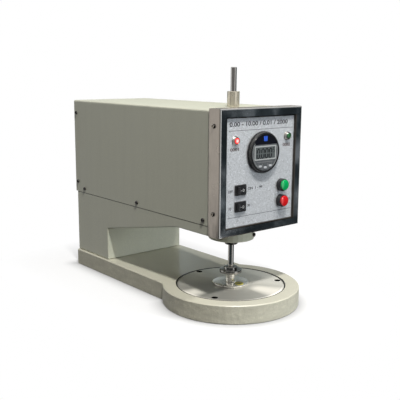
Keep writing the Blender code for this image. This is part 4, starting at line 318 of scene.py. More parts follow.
class Nodes:
    """Short ways to build one node tree; pitches and depths are in millimetres."""

    def __init__(self, tree, placed=True):
        self.tree = tree
        if placed:
            self.place = self.add("ShaderNodeTexCoord").outputs["Object"]

    def add(self, kind, **values):
        node = self.tree.nodes.new(kind)
        for name, value in values.items():
            setattr(node, name, value)
        return node

    def feed(self, socket, value):
        """Socket given a value or the output of another node."""
        if isinstance(value, bpy.types.NodeSocket):
            self.tree.links.new(value, socket)
        else:
            socket.default_value = value

    def grain(self, pitch, detail=3.0, place=None, stretch=None):
        """Noise whose features are about one pitch apart."""
        place = self.place if place is None else place
        if stretch is not None:
            mapping = self.add("ShaderNodeMapping")
            self.feed(mapping.inputs["Scale"], stretch)
            self.feed(mapping.inputs["Vector"], place)
            place = mapping.outputs["Vector"]
        noise = self.add("ShaderNodeTexNoise")
        self.feed(noise.inputs["Scale"], 1.0 / (pitch * MM))
        self.feed(noise.inputs["Detail"], detail)
        self.feed(noise.inputs["Vector"], place)
        return noise.outputs["Fac"]

    def spread(self, value, source, target=(0.0, 1.0)):
        """Value mapped from one range to another."""
        node = self.add("ShaderNodeMapRange")
        sockets = ("Value", "From Min", "From Max", "To Min", "To Max")
        for socket, number in zip(sockets, (value, *source, *target)):
            self.feed(node.inputs[socket], number)
        return node.outputs["Result"]

    def between(self, share, first, second):
        """Number between two."""
        return self.spread(share, (0.0, 1.0), (first, second))

    def clouds(self, pitch, detail=3.0, source=(0.3, 0.7), target=(0.0, 1.0), stretch=None):
        """Noise spread to a range."""
        return self.spread(self.grain(pitch, detail, stretch=stretch), source, target)

    def work(self, operation, first, second=0.0):
        """One step of arithmetic between a socket and a socket or number."""
        node = self.add("ShaderNodeMath", operation=operation)
        self.feed(node.inputs[0], first)
        self.feed(node.inputs[1], second)
        return node.outputs[0]

    def mix(self, share, first, second):
        """Colour between two, each a colour or a socket."""
        node = self.add("ShaderNodeMix", data_type="RGBA")
        self.feed(node.inputs[0], share)
        for socket, colour in ((node.inputs[6], first), (node.inputs[7], second)):
            self.feed(socket, colour if isinstance(colour, bpy.types.NodeSocket) else (*colour, 1.0))
        return node.outputs[2]

    def varied(self, share, colour, first, second):
        """Colour between two shades of itself."""
        return self.mix(share, shaded(colour, first), shaded(colour, second))

    def part(self, axis, place=None):
        """One coordinate of the piece."""
        split = self.add("ShaderNodeSeparateXYZ")
        self.feed(split.inputs[0], self.place if place is None else place)
        return split.outputs[axis]

    def facing(self, axis):
        """One part of the surface's own normal."""
        return self.part(axis, self.add("ShaderNodeNewGeometry").outputs["Normal"])

    def offset(self, axis, centre):
        """One coordinate measured from a centre."""
        return self.work("SUBTRACT", self.part(axis), centre["XYZ".index(axis)])

    def distance(self, centre, axes="XY"):
        """Distance from an axis through a centre, measured along two coordinates."""
        squares = [self.work("POWER", self.offset(axis, centre), 2.0) for axis in axes]
        return self.work("SQRT", self.work("ADD", *squares))

    def bearing(self, centre, radius, heading):
        """Cosine of the angle round a centre between a place and a heading in degrees."""
        turn = math.radians(heading)
        across = self.work("MULTIPLY", self.offset("X", centre), math.sin(turn))
        along = self.work("MULTIPLY", self.offset("Y", centre), math.cos(turn))
        return self.work("DIVIDE", self.work("ADD", across, along), radius)

    def rings(self, radius, along, pitch, detail):
        """Grain that turns about an axis."""
        joined = self.add("ShaderNodeCombineXYZ")
        self.feed(joined.inputs[0], radius)
        self.feed(joined.inputs[1], along)
        return self.grain(pitch, detail, joined.outputs[0])


class Finish(Nodes):
    """Material of a piece, built in the piece's own coordinates."""

    def __init__(self, name):
        self.material = bpy.data.materials.new(name)
        self.material.use_nodes = True
        super().__init__(self.material.node_tree)
        self.shader = self.tree.nodes["Principled BSDF"]

    def give(self, socket, value):
        self.feed(self.shader.inputs[socket], value)

    def bump(self, height, depth, before=None):
        """Bump from a height between 0 and 1, over another one if given."""
        node = self.add("ShaderNodeBump")
        self.feed(node.inputs["Distance"], depth * MM)
        self.feed(node.inputs["Height"], height)
        if before is not None:
            self.feed(node.inputs["Normal"], before)
        self.give("Normal", node.outputs["Normal"])
        return node.outputs["Normal"]


def shaded(colour, factor):
    """Colour made lighter or darker."""
    return tuple(min(1.0, channel * factor) for channel in colour)


# Finishes


def mottled(name, colour, pitch, contrast, rough, metal=0.0, peel=None, coat=0.0, specular=0.5):
    """Finish with gentle colour mottling, uneven gloss and a fine surface grain."""
    made = Finish(name)
    made.give("Metallic", metal)
    made.give("Specular IOR Level", specular)
    if coat > 0.0:
        made.give("Coat Weight", coat)
        made.give("Coat Roughness", 0.08)
    made.give("Base Color", made.varied(made.clouds(pitch), colour, 1 - contrast, 1 + contrast))
    made.give("Roughness", made.clouds(pitch / 4, target=rough))
    if peel is not None:
        made.bump(made.grain(peel[0], 2.0), peel[1])
    return made.material


def blackened(name, pitch=2):
    """Blackened steel of the screws."""
    return mottled(name, settings().steel.blackened, pitch, 0.3, (0.25, 0.4), 1.0)


def machine_paint(name, seam_shade=False):
    """Sprayed machine paint: soft clouds, fine speckle, faint downward streaks, orange peel, and if asked a
    painted shade line just under the cover's lower edge.
    """
    paint = settings().paint
    colour = paint.body_colour
    made = Finish(name)
    clouds = made.clouds(90, 4.0)
    broad = made.varied(clouds, colour, 0.965, 1.03)
    tinted = made.mix(made.clouds(1.6, 2.0, (0.35, 0.65)), shaded(colour, 0.94), broad)
    streaks = made.clouds(12, 5.0, (0.45, 0.75), (0.0, 0.35), (1.0, 1.0, 0.08))
    shade = made.mix(streaks, tinted, shaded(colour, 0.88))
    # Painted shade: a dark line on the arm just under the cover's lower edge.
    if seam_shade:
        above = made.spread(made.part("Z"), (COVER_FOOT - 1.3 * MM, COVER_FOOT - 0.7 * MM))
        shade = made.mix(above, shade, shaded(colour, 0.10))
    made.give("Base Color", shade)
    made.give("Roughness", made.between(clouds, 0.36, 0.46))
    made.give("Specular IOR Level", 0.4)
    peel_depth = paint.peel_depth / MM
    soft = made.bump(made.grain(14, 2.0), peel_depth * 3)
    made.bump(made.grain(paint.peel_pitch / MM, 2.0), peel_depth, soft)
    return made.material


def base_finish(name):
    """Cast base: glossy level faces, rough mottled walls, painted shade of a gap round the anvil."""
    paint = settings().paint
    made = Finish(name)
    level = made.spread(made.facing("Z"), (0.55, 0.95))
    top = made.varied(made.clouds(70, 4.0), paint.base_colour, 0.97, 1.02)
    top = made.mix(made.clouds(1.4, 2.0, (0.35, 0.65)), shaded(paint.base_colour, 0.95), top)
    blots = made.clouds(12, 6.0, (0.34, 0.66), stretch=(0.45, 0.45, 1.6))
    wall = made.varied(blots, paint.wall_colour, 0.86, 1.12)
    wall = made.mix(made.clouds(2.6, 5.0, (0.35, 0.6)), shaded(paint.wall_colour, 0.92), wall)
    painted = made.mix(level, wall, top)
    # Painted shade: a dark ring on the base's top just outside the anvil, standing in for a gap.
    gap_shade_edges = (ANVIL_RIM + 1.9 * MM, ANVIL_RIM + 2.3 * MM)
    gap = made.spread(made.distance(ANVIL_MIDDLE), gap_shade_edges, (1.0, 0.0))
    made.give("Base Color", made.mix(gap, painted, paint.gap_shade_colour))
    made.give("Roughness", made.between(level, 0.58, 0.10))
    on_wall = made.spread(level, (0.0, 0.6), (1.0, 0.0))
    cast = made.bump(made.work("MULTIPLY", made.grain(9, 5.0), on_wall), 0.9)
    made.bump(made.grain(22, 2.0), 0.06, cast)
    return made.material


def ground_plate(name):
    """Face turned steel: fine rings, painted highlight fans, painted shade towards one side, faint stains,
    painted shade on the walls of the screw holes.
    """
    steel = settings().steel
    made = Finish(name)
    made.give("Anisotropic", 0.7)
    made.give("Tangent", made.add("ShaderNodeTangent", direction_type="RADIAL", axis="Z").outputs[0])
    radius = made.distance(ANVIL_MIDDLE)
    rings = made.rings(radius, 0.0, 0.8, 5.0)
    stains = made.clouds(16, 4.0, (0.35, 0.7))
    shade = made.varied(stains, steel.ground, 1.06, 0.90)
    shade = made.mix(made.spread(rings, (0.3, 0.7)), shaded(steel.ground, 0.93), shade)
    # Painted shade: the anvil is darker towards one heading round its middle.
    side = made.spread(made.bearing(ANVIL_MIDDLE, radius, PAINTED_SHADE_HEADING), (-0.05, 0.8))
    shade = made.mix(side, shade, shaded(steel.ground, 0.55))
    # Painted highlights: bright fans of a paler, less metallic colour.
    fans = []
    for heading, wide, narrow, start in PAINTED_HIGHLIGHT_FANS:
        edges = (math.cos(math.radians(wide)), math.cos(math.radians(narrow)))
        fan = made.spread(made.bearing(ANVIL_MIDDLE, radius, heading), edges)
        outwards = made.spread(radius, (start * ANVIL_RIM, (start + 0.16) * ANVIL_RIM))
        fans.append(made.work("MULTIPLY", fan, outwards))
    bright = made.work("MAXIMUM", *fans)
    shade = made.mix(bright, shade, PAINTED_HIGHLIGHT_COLOUR)
    made.give("Metallic", made.between(bright, 0.60, 0.28))
    # Painted shade: near black on the walls of the screw holes.
    inside = made.spread(radius, (ANVIL_RIM - 2 * MM, ANVIL_RIM - MM), (1.0, 0.0))
    upright = made.spread(made.facing("Z"), (0.2, 0.6), (1.0, 0.0))
    made.give("Base Color", made.mix(made.work("MULTIPLY", inside, upright), shade, steel.sunk))
    made.give("Roughness", made.between(stains, 0.36, 0.42))
    made.bump(rings, 0.006)
    return made.material


def turned_steel(name, colour, centre, rough, contrast=0.10, metal=1.0):
    """Steel turned about an upright axis: faint rings and slightly uneven gloss."""
    made = Finish(name)
    made.give("Metallic", metal)
    clouds = made.grain(9)
    made.give("Base Color", made.varied(made.spread(clouds, (0.3, 0.7)), colour, 1 - contrast, 1 + contrast))
    made.give("Roughness", made.spread(clouds, (0.3, 0.7), rough))
    made.bump(made.rings(made.distance(centre), made.offset("Z", centre), 0.55, 4.0), 0.0001)
    return made.material


def frame_rim_highlight(made):
    """1 on the outer edge of the front frame's face, where a highlight is painted."""
    start, end = 1.5 * MM, 2.2 * MM
    level = made.part("Z")
    sides = made.spread(made.work("ABSOLUTE", made.part("X")), (FRAME_HIGH.x - end, FRAME_HIGH.x - start))
    top = made.spread(level, (FRAME_HIGH.z - end, FRAME_HIGH.z - start))
    foot = made.spread(level, (FRAME_LOW.z + start, FRAME_LOW.z + end), (1.0, 0.0))
    return made.work("MAXIMUM", sides, made.work("MAXIMUM", top, foot))


def frame_steel(name):
    """Bright bent sheet: mirror polish on its face with a painted highlight along its outer edge, brushed
    flanges with soft smears, darker low down, painted shade on the window's inner walls.
    """
    steel = settings().steel
    made = Finish(name)
    forward = made.spread(made.facing("Y"), (-0.80, -0.30), (1.0, 0.0))
    # Painted highlight: the face's outer edge gets a lighter, duller colour.
    rim = made.work("MULTIPLY", frame_rim_highlight(made), forward)
    clouds = made.clouds(38, 4.0, (0.35, 0.65))
    metal = made.between(forward, 0.62, 1.0)
    for dulled in (made.between(rim, 0.0, 0.3), made.spread(clouds, (0.4, 1.0), (0.0, 0.12))):
        metal = made.work("SUBTRACT", metal, dulled)
    made.give("Metallic", metal)
    face = made.mix(rim, made.varied(clouds, steel.face, 0.55, 1.35), steel.rim)
    brushed = made.clouds(0.9, stretch=(0.05, 1.0, 0.05))
    side = made.varied(brushed, steel.flange, 0.94, 1.05)
    # The flanges darken in patches towards the bottom.
    low = made.spread(made.part("Z"), (FRAME_LOW.z, FRAME_LOW.z + 60 * MM), (1.0, 0.0))
    lower_darkening = made.clouds(9, 4.0, (0.35, 0.6), (0.1, 0.9), (1.0, 1.0, 0.3))
    side = made.mix(made.work("MULTIPLY", low, lower_darkening), side, shaded(steel.flange, 0.25))
    # Painted shade: dark inner walls of the window in the frame.
    across = made.work("ABSOLUTE", made.part("X"))
    inner = made.spread(across, (WINDOW_REACH, WINDOW_REACH + MM), (1.0, 0.0))
    below = made.spread(made.part("Z"), (WINDOW_TOP, WINDOW_TOP + MM), (1.0, 0.0))
    turned_in = made.spread(made.facing("Y"), (-0.9995, -0.995))
    edge = made.work("MULTIPLY", made.work("MULTIPLY", inner, below), turned_in)
    made.give("Base Color", made.mix(edge, made.mix(forward, side, face), shaded(steel.flange, 0.16)))
    smears = made.clouds(17, 4.0, target=(0.05, 0.13))
    made.give("Roughness", made.work("ADD", smears, made.between(forward, 0.16, 0.0)))
    made.bump(made.grain(34, 1.0), 0.25)
    return made.material


def silver_panel(name):
    """Printed silver: fine frosted grain over soft clouds."""
    colour = settings().panel_print.silver
    made = Finish(name)
    made.give("Metallic", 0.15)
    fine = made.clouds(1.25, 2.0, (0.36, 0.64))
    speckled = made.varied(fine, colour, 0.60, 1.35)
    made.give("Base Color", made.mix(made.clouds(4, 3.0, (0.35, 0.65)), shaded(colour, 0.97), speckled))
    made.give("Roughness", made.between(fine, 0.42, 0.58))
    made.bump(fine, 0.02)
    return made.material


def lamp_glow(name, colour, centre, reach):
    """Lit lens: white hot at its middle, deep colour towards its rim."""
    made = Finish(name)
    made.give("Roughness", 0.12)
    made.give("Emission Strength", 1.0)
    share = made.spread(made.distance(centre, "XZ"), (reach * 0.25, reach * 0.85))
    made.give("Emission Color", made.mix(share, (1.0, 0.82, 0.78), colour))
    made.give("Base Color", made.mix(made.grain(0.8, 2.0), colour, shaded(colour, 0.8)))
    return made.material


# Shapes


def ring(axis, centre, radius, along, steps, sides=0):
    """Points round an axis; with a number of sides it is a polygon drawn with the same points."""
    middle = Vector(centre)
    if isinstance(axis, str):
        direction = AXES[axis]
        middle = middle - direction * middle.dot(direction)
    else:
        direction = axis
    first = AXES["Y"] if abs(direction.x) > 0.9 else AXES["X"]
    first = (first - direction * first.dot(direction)).normalized()
    second = direction.cross(first)
    middle = middle + direction * along
    points = []
    for index in range(steps):
        angle = 2 * math.pi * index / steps
        reach = radius
        if sides:
            part = 2 * math.pi / sides
            reach = radius / math.cos((angle % part) - part / 2)
        points.append(middle + first * (reach * math.cos(angle)) + second * (reach * math.sin(angle)))
    return points


def skin(rings, capped=True):
    """Mesh bridging rings of equal count."""
    mesh = bmesh.new()
    rows = [[mesh.verts.new(point) for point in row] for row in rings]
    pairs = list(zip(rows, rows[1:]))
    if capped:
        mesh.faces.new(rows[0])
        mesh.faces.new(rows[-1])
    else:
        pairs.append((rows[-1], rows[0]))
    count = len(rows[0])
    for lower, upper in pairs:
        for index in range(count):
            after = (index + 1) % count
            mesh.faces.new((lower[index], lower[after], upper[after], upper[index]))
    bmesh.ops.recalc_face_normals(mesh, faces=mesh.faces)
    return mesh


def stations(radius, along, *offsets):
    """Stations of a turned part: offsets in mm from a radius and a place on the axis."""
    return [(radius + across * MM, along + rise * MM, *sides) for across, rise, *sides in offsets]


def turned(profile, axis, centre, steps, capped=True):
    """Mesh from (radius, along) or (radius, along, sides) stations about an axis."""
    return skin([ring(axis, centre, *station[:2], steps, *station[2:]) for station in profile], capped)


def eased(radius, along, edge, rising, steps=3):
    """Stations of a small round between a side and an upper (1) or lower (-1) face."""
    profile = []
    for step in range(steps + 1):
        angle = math.pi / 2 * step / steps
        across = radius - edge * (1 - math.cos(angle))
        profile.append((across, along - rising * edge * (1 - math.sin(angle))))
    return profile if rising > 0 else profile[::-1]


def plate(outline, low, high, depth_axis="Y"):
    """Flat outline in x and z (or x and y) given a thickness."""
    if depth_axis == "Y":
        return skin([[Vector((x, level, z)) for x, z in outline] for level in (low, high)])
    return skin([[Vector((x, y, level)) for x, y in outline] for level in (low, high)])


def band(outer, inner, low, high):
    """Flat ring between two outlines of equal count, upright, with a thickness."""
    sides = ((outer, low), (outer, high), (inner, high), (inner, low))
    return skin([[Vector((x, level, z)) for x, z in outline] for outline, level in sides], capped=False)


def round_rectangle(centre, width, height, corner, steps=5):
    """Outline of a round cornered rectangle."""
    points = []
    for side, up, start in ((1, 1, 0), (-1, 1, 90), (-1, -1, 180), (1, -1, 270)):
        middle_x = centre[0] + side * (width / 2 - corner)
        middle_z = centre[1] + up * (height / 2 - corner)
        for step in range(steps + 1):
            angle = math.radians(start + 90 * step / steps)
            points.append((middle_x + corner * math.cos(angle), middle_z + corner * math.sin(angle)))
    return points


def disc_part(centre, radius, level, above, steps=48):
    """Outline of the part of a disc above or below a level."""
    height = max(-1.0, min(1.0, (level - centre[1]) / radius))
    edge = math.asin(height)
    start, end = (edge, math.pi - edge) if above else (math.pi - edge, 2 * math.pi + edge)
    points = []
    for step in range(steps + 1):
        angle = start + (end - start) * step / steps
        points.append((centre[0] + radius * math.cos(angle), centre[1] + radius * math.sin(angle)))
    return points


def rod(start, end, width):
    """Straight strip between two points as an outline in x and z."""
    start, end = Vector(start), Vector(end)
    across = (end - start).normalized()
    side = Vector((-across.y, across.x)) * (width / 2)
    return [tuple(start + side), tuple(end + side), tuple(end - side), tuple(start - side)]


def tilted_oval(centre, along, across, steps):
    """Oval outline with its long axis along the label's heading."""
    side = Vector((LABEL_HEADING.y, -LABEL_HEADING.x))
    points = []
    for step in range(steps):
        angle = 2 * math.pi * step / steps
        point = centre + LABEL_HEADING * (along * math.cos(angle)) + side * (across * math.sin(angle))
        points.append(tuple(point))
    return points


def segment_bar(start, end, width):
    """Pointed bar of a seven part digit between two points, leaned by the digits' slant."""
    along = (end - start).normalized()
    across = Vector((-along.y, along.x))
    half = width / 2
    corners = (
        start,
        start + along * half + across * half,
        end - along * half + across * half,
        end,
        end - along * half - across * half,
        start + along * half - across * half,
    )
    return [(point.x + point.y * DIGIT_SLANT, point.y) for point in corners]


def digit_bars(mark, left, low, width, height, bar):
    """Outlines of a seven part digit."""
    gap = bar * 0.12
    ends = {
        "a": ((0, height), (width, height)),
        "b": ((width, height), (width, height / 2)),
        "c": ((width, height / 2), (width, 0)),
        "d": ((0, 0), (width, 0)),
        "e": ((0, height / 2), (0, 0)),
        "f": ((0, height), (0, height / 2)),
        "g": ((0, height / 2), (width, height / 2)),
    }
    outlines = []
    for letter in SEGMENTS[mark]:
        start, end = (Vector(point) for point in ends[letter])
        along = (end - start).normalized() * gap
        outlines.append([(left + x, low + z) for x, z in segment_bar(start + along, end - along, bar)])
    return outlines


def bezel_tooth(centre, angle, reach, front):
    """Small grip tooth on the slope of the bezel."""
    out = Vector((math.cos(angle), 0, math.sin(angle)))
    across = Vector((-math.sin(angle), 0, math.cos(angle)))
    rings = []
    for radius, depth in ((reach - 0.75 * MM, 3.3 * MM), (25.95 * MM, 0.7 * MM)):
        corners = []
        for side, lift in ((-0.38, -0.3), (-0.22, 0.28), (0.22, 0.28), (0.38, -0.3)):
            point = centre + out * radius + across * (side * MM) + out * (lift * MM)
            corners.append(Vector((point.x, front + depth - lift * MM * 0.6, point.z)))
        rings.append(corners)
    return skin(rings)


def several(meshes):
    """One mesh of several loose parts."""
    whole = bmesh.new()
    for mesh in meshes:
        carrier = bpy.data.meshes.new("carrier")
        mesh.to_mesh(carrier)
        mesh.free()
        whole.from_mesh(carrier)
        bpy.data.meshes.remove(carrier)
    return whole


def laid_on(mesh, node):
    """Thin print moved onto the front of a solid."""
    part = frame["nodes"][node]
    low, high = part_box(node)
    height = (high - low).length
    for vertex in mesh.verts:
        lift = vertex.co.dot(FORWARD)
        start = vertex.co - FORWARD * lift + FORWARD * ((high + low).dot(FORWARD) / 2 + height)
        found, place, _, _ = part.ray_cast(start, -FORWARD)
        if not found:
            raise ValueError(f"print misses {node}")
        vertex.co = place + FORWARD * (PROUD if abs(lift) > PROUD / 2 else 0.0)
    bmesh.ops.recalc_face_normals(mesh, faces=mesh.faces)
    return mesh


# Pieces


def smooth(data):
    """Smooth shading with crisp edges."""
    data.shade_smooth()
    data.set_sharp_from_angle(angle=SHARP_ANGLE)


def add_piece(name, mesh, finish, body, replaced=()):
    """Smooth shaded piece riding on a body, standing for nodes if it replaces any."""
    data = bpy.data.meshes.new(name)
    mesh.to_mesh(data)
    mesh.free()
    smooth(data)
    data.materials.append(finish)
    made = bpy.data.objects.new(name, data)
    bpy.context.scene.collection.objects.link(made)
    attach(made, body)
    if replaced:
        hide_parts(*replaced)
    return made


def remake(node, mesh, finish, body):
    """Finer piece on the place of a node."""
    return add_piece("fine_" + node, mesh, finish, body, (node,))


def remake_on_spindle(node, profile, finish, capped=True):
    """Finer turned piece that slides with the spindle."""
    mesh = turned(profile, "Z", SPINDLE_MIDDLE, settings().steel.rounds, capped)
    remake(node, mesh, finish, "measuring_spindle")


def dress(node, finish):
    """New finish on a solid of the frame."""
    part = frame["nodes"][node]
    if not part.material_slots:
        part.data.materials.append(finish)
    for entry in part.material_slots:
        entry.material = finish
    smooth(part.data)


def middle_of(node):
    low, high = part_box(node)
    return (low + high) / 2


def half_width(node):
    low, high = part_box(node)
    return (high.x - low.x) / 2


def body_of(node):
    """Body that carries a node."""
    owner = frame["nodes"][node]
    while owner is not None and owner not in list(frame["bodies"].values()):
        owner = owner.parent
    for name, body in frame["bodies"].items():
        if body == owner:
            return name
    raise ValueError(f"no body carries {node}")


def lettering(name, words, height, left, level, finish, squeeze):
    """Plain numbers or signs on the panel, standing on a line, facing the front."""
    curve = bpy.data.curves.new(name, "FONT")
    curve.body = words
    curve.size = 1.0
    curve.offset = LETTER_WEIGHT
    curve.resolution_u = 4
    sample = bpy.data.objects.new(name + "_sample", curve)
    bpy.context.scene.collection.objects.link(sample)
    bpy.context.view_layer.update()
    flat = bpy.data.meshes.new_from_object(sample.evaluated_get(bpy.context.evaluated_depsgraph_get()))
    bpy.data.objects.remove(sample)
    low_x = min(vertex.co.x for vertex in flat.vertices)
    scale = height / max(vertex.co.y for vertex in flat.vertices)
    mesh = bmesh.new()
    mesh.from_mesh(flat)
    bpy.data.meshes.remove(flat)
    for vertex in mesh.verts:
        across = (vertex.co.x - low_x) * scale * squeeze
        vertex.co = Vector((left + across, PANEL_FRONT, level + vertex.co.y * scale))
    bmesh.ops.remove_doubles(mesh, verts=mesh.verts, dist=0.001 * MM)
    pushed = bmesh.ops.extrude_face_region(mesh, geom=mesh.faces[:])
    fronts = [item for item in pushed["geom"] if isinstance(item, bmesh.types.BMVert)]
    bmesh.ops.translate(mesh, verts=fronts, vec=FORWARD * PROUD)
    bmesh.ops.recalc_face_normals(mesh, faces=mesh.faces)
    add_piece(name, mesh, finish, "body")


def hex_screw(node, direction, finish, socket_share=0.5, crown=True, middle_finish=None):
    """Socket screw on the place of its node, its head facing along a direction."""
    out = Vector(direction).normalized()
    middle = middle_of(node)
    spots = [vertex.co - middle for vertex in frame["nodes"][node].data.vertices]
    reach = [spot.dot(out) for spot in spots]
    wide = [(spot - out * spot.dot(out)).length for spot in spots]
    tip, top = min(reach), max(reach)
    head = max(wide)
    shank = max(across for across, along in zip(wide, reach) if along < tip + 0.2 * MM)
    seat = min(along for across, along in zip(wide, reach) if across > 0.9 * head)
    socket = head * socket_share
    depth = min(0.6 * (top - seat), 1.4 * MM)
    dome = (0.22 if crown else 0.08) * (top - seat)
    profile = [(shank, tip), (shank, seat), (head, seat), (head, top - 2.2 * dome)]
    profile += [(head * 0.93, top - 1.2 * dome), (head * 0.78, top - 0.4 * dome)]
    profile += [(socket * 1.25, top), (socket, top - 0.1 * MM, 6), (socket * 0.97, top - depth, 6)]
    profile += [(socket * 0.3, top - depth - 0.2 * MM, 6)]
    mesh = turned(profile, out, middle, SCREW_STEPS)
    made = remake(node, mesh, finish, body_of(node))
    if middle_finish is not None:
        made.data.materials.append(middle_finish)
        for face in made.data.polygons:
            spot = face.center - middle
            across = (spot - out * spot.dot(out)).length
            if spot.dot(out) > seat and across < 0.72 * head:
                face.material_index = 1


# Stage


def four_cornered(name, corners, finish):
    """Sheet between four corners."""
    mesh = bpy.data.meshes.new(name)
    mesh.from_pydata(corners, [], [(0, 1, 2, 3)])
    mesh.materials.append(finish)
    made = bpy.data.objects.new(name, mesh)
    bpy.context.scene.collection.objects.link(made)
    return made


def lamp(name, place, target, size, power, colour):
    """Area lamp turned to a target."""
    light = bpy.data.lights.new(name, "AREA")
    light.size = size
    light.energy = power
    light.color = colour
    made = bpy.data.objects.new(name, light)
    bpy.context.scene.collection.objects.link(made)
    aim = (Vector(target) - Vector(place)).to_track_quat("-Z", "Y").to_matrix().to_4x4()
    made.matrix_world = Matrix.Translation(Vector(place)) @ aim
    return made


def bare_material(name):
    """Material with nothing in it, its nodes and the socket of its surface."""
    made = bpy.data.materials.new(name)
    made.use_nodes = True
    made.node_tree.nodes.clear()
    nodes = Nodes(made.node_tree)
    return made, nodes, nodes.add("ShaderNodeOutputMaterial").inputs["Surface"]


def card(name, headings, distances, levels, colour):
    """Card that only reflections see, between two headings from the spindle."""
    corners = []
    for step, turn in ((0, 0), (0, 1), (1, 1), (1, 0)):
        heading = math.radians(headings[turn])
        reach = distances[step]
        y = SPINDLE_MIDDLE.y + reach * math.cos(heading)
        corners.append((reach * math.sin(heading), y, levels[step]))
    finish, nodes, surface = bare_material(name)
    glow = nodes.add("ShaderNodeEmission")
    clouds = nodes.clouds(350, source=(0.35, 0.7))
    nodes.feed(glow.inputs["Color"], nodes.varied(clouds, colour, 0.4, 1.7))
    nodes.feed(surface, glow.outputs[0])
    made = four_cornered(name, corners, finish)
    made.visible_camera = False
    made.visible_diffuse = False
    made.visible_shadow = False
    made.visible_transmission = False


def seen_directly(nodes):
    """1 on camera, glossy and transmission rays."""
    path = nodes.add("ShaderNodeLightPath").outputs
    both = nodes.work("MAXIMUM", path["Is Camera Ray"], path["Is Glossy Ray"])
    return nodes.work("MAXIMUM", both, path["Is Transmission Ray"])


def studio_world(values):
    """White where it is seen or mirrored, plainer as a light."""
    world = bpy.data.worlds.new("studio")
    world.use_nodes = True
    nodes = Nodes(world.node_tree, placed=False)
    background = world.node_tree.nodes["Background"]
    nodes.feed(background.inputs["Strength"], nodes.between(seen_directly(nodes), values.ambient, 1.0))
    nodes.feed(background.inputs["Color"], (1, 1, 1, 1))
    return world


def from_foot(nodes):
    """Distance on the floor from the outline of the base: a bar and a round end."""
    base = frame["nodes"]["base_casting"].data
    low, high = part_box("base_casting")
    round_end = Vector(((low.x + high.x) / 2, SPINDLE_MIDDLE.y, 0))
    radius = (high.x - low.x) / 2
    bar_start = round_end.y + 1.5 * radius
    bar_reach = max(vertex.co.x for vertex in base.vertices if vertex.co.y > bar_start)
    bar_half = (high.y - round_end.y) / 2
    beyond = []
    for axis, middle, reach in (("X", round_end.x, bar_reach), ("Y", high.y - bar_half, bar_half)):
        off = nodes.work("ABSOLUTE", nodes.work("SUBTRACT", nodes.part(axis), middle))
        past = nodes.work("MAXIMUM", nodes.work("SUBTRACT", off, reach), 0.0)
        beyond.append(nodes.work("POWER", past, 2.0))
    from_bar = nodes.work("SQRT", nodes.work("ADD", *beyond))
    from_end = nodes.work("SUBTRACT", nodes.distance(round_end), radius)
    return nodes.work("MAXIMUM", nodes.work("MINIMUM", from_bar, from_end), 0.0)


def floor_finish(values):
    """Floor that takes shadows, with a painted contact shadow round the foot, and is lifted to white where it
    is seen, wholly so far out.
    """
    made, nodes, surface = bare_material("floor")
    diffuse = nodes.add("ShaderNodeBsdfDiffuse")
    glow = nodes.add("ShaderNodeEmission")
    joined = nodes.add("ShaderNodeAddShader")
    away = from_foot(nodes)
    far = nodes.spread(away, (0.0, values.shadow_reach))
    # Painted contact shadow: the floor darkened in a rim round the foot.
    close = nodes.spread(away, (0.0, values.contact_reach), (1.0, 0.0))
    painted_contact_shadow = nodes.work("MULTIPLY", nodes.work("POWER", close, 2.0), values.contact_shade)
    seen = seen_directly(nodes)
    near = nodes.mix(seen, (values.floor_grey,) * 3, (1.0 - values.floor_lift,) * 3)
    near = nodes.mix(painted_contact_shadow, near, BLACK)
    nodes.feed(diffuse.inputs["Color"], nodes.mix(far, near, BLACK))
    lift = nodes.between(far, values.floor_lift, 1.0)
    lift = nodes.work("MULTIPLY", lift, nodes.between(painted_contact_shadow, 1.0, 0.0))
    nodes.feed(glow.inputs["Strength"], nodes.work("MULTIPLY", lift, seen))
    nodes.feed(joined.inputs[0], diffuse.outputs[0])
    nodes.feed(joined.inputs[1], glow.outputs[0])
    nodes.feed(surface, joined.outputs[0])
    return made


def set_camera(scene, values):
    """Camera at the photo's place and turn."""
    view = bpy.data.cameras.new("camera")
    view.lens = values.lens
    view.sensor_width = 36.0
    view.clip_start = 0.02
    made = bpy.data.objects.new("camera", view)
    scene.collection.objects.link(made)
    heading, tilt, roll = values.heading, values.tilt, values.roll
    flat = math.cos(tilt)
    forward = Vector((math.sin(heading) * flat, math.cos(heading) * flat, -math.sin(tilt)))
    level = Vector((math.cos(heading), -math.sin(heading), 0))
    across = level * math.cos(roll) + level.cross(forward) * math.sin(roll)
    turn = Matrix((across, across.cross(forward), -forward)).transposed().to_4x4()
    made.matrix_world = Matrix.Translation(Vector(values.camera_place)) @ turn
    scene.camera = made


# Operators


class TESTER_OT_castings(Operator):
    """Finish the cast base, the cast arm and the drive held inside the arm"""

    bl_idname = "tester.castings"
    bl_label = "Castings"

    def execute(self, context):
        dress("base_casting", base_finish("base_paint"))
        dress("arm_casting", machine_paint("body_paint", seam_shade=True))
        dress("rear_panel", machine_paint("rear_paint"))
        drive = mottled("drive_steel", settings().steel.ground, 6, 0.08, (0.25, 0.4), 1.0)
        for node in ("lift_arm", "lift_cam", "cam_roller", "indicator_plunger"):
            dress(node, drive)
        for name, (node, *look) in HIDDEN_FINISHES.items():
            dress(node, mottled(name, *look))
        return {"FINISHED"}


class TESTER_OT_cover(Operator):
    """Finish the bent cover and set its screws and those of the front frame"""

    bl_idname = "tester.cover"
    bl_label = "Cover and side screws"

    def execute(self, context):
        dress("top_cover", machine_paint("cover_paint"))
        black = blackened("blackened_steel")
        # The frame screws' heads are a plain paler steel in their middle.
        paler = mottled("worn_steel", (0.42, 0.38, 0.33), 1, 0.4, (0.25, 0.4), 1.0)
        for start, middle_finish in (("cover_screw", None), ("frame_screw", paler)):
            for node in sorted(frame["nodes"]):
                if node.startswith(start):
                    side = 1 if middle_of(node).x > 0 else -1
                    hex_screw(node, (side, 0, 0), black, middle_finish=middle_finish)
        return {"FINISHED"}


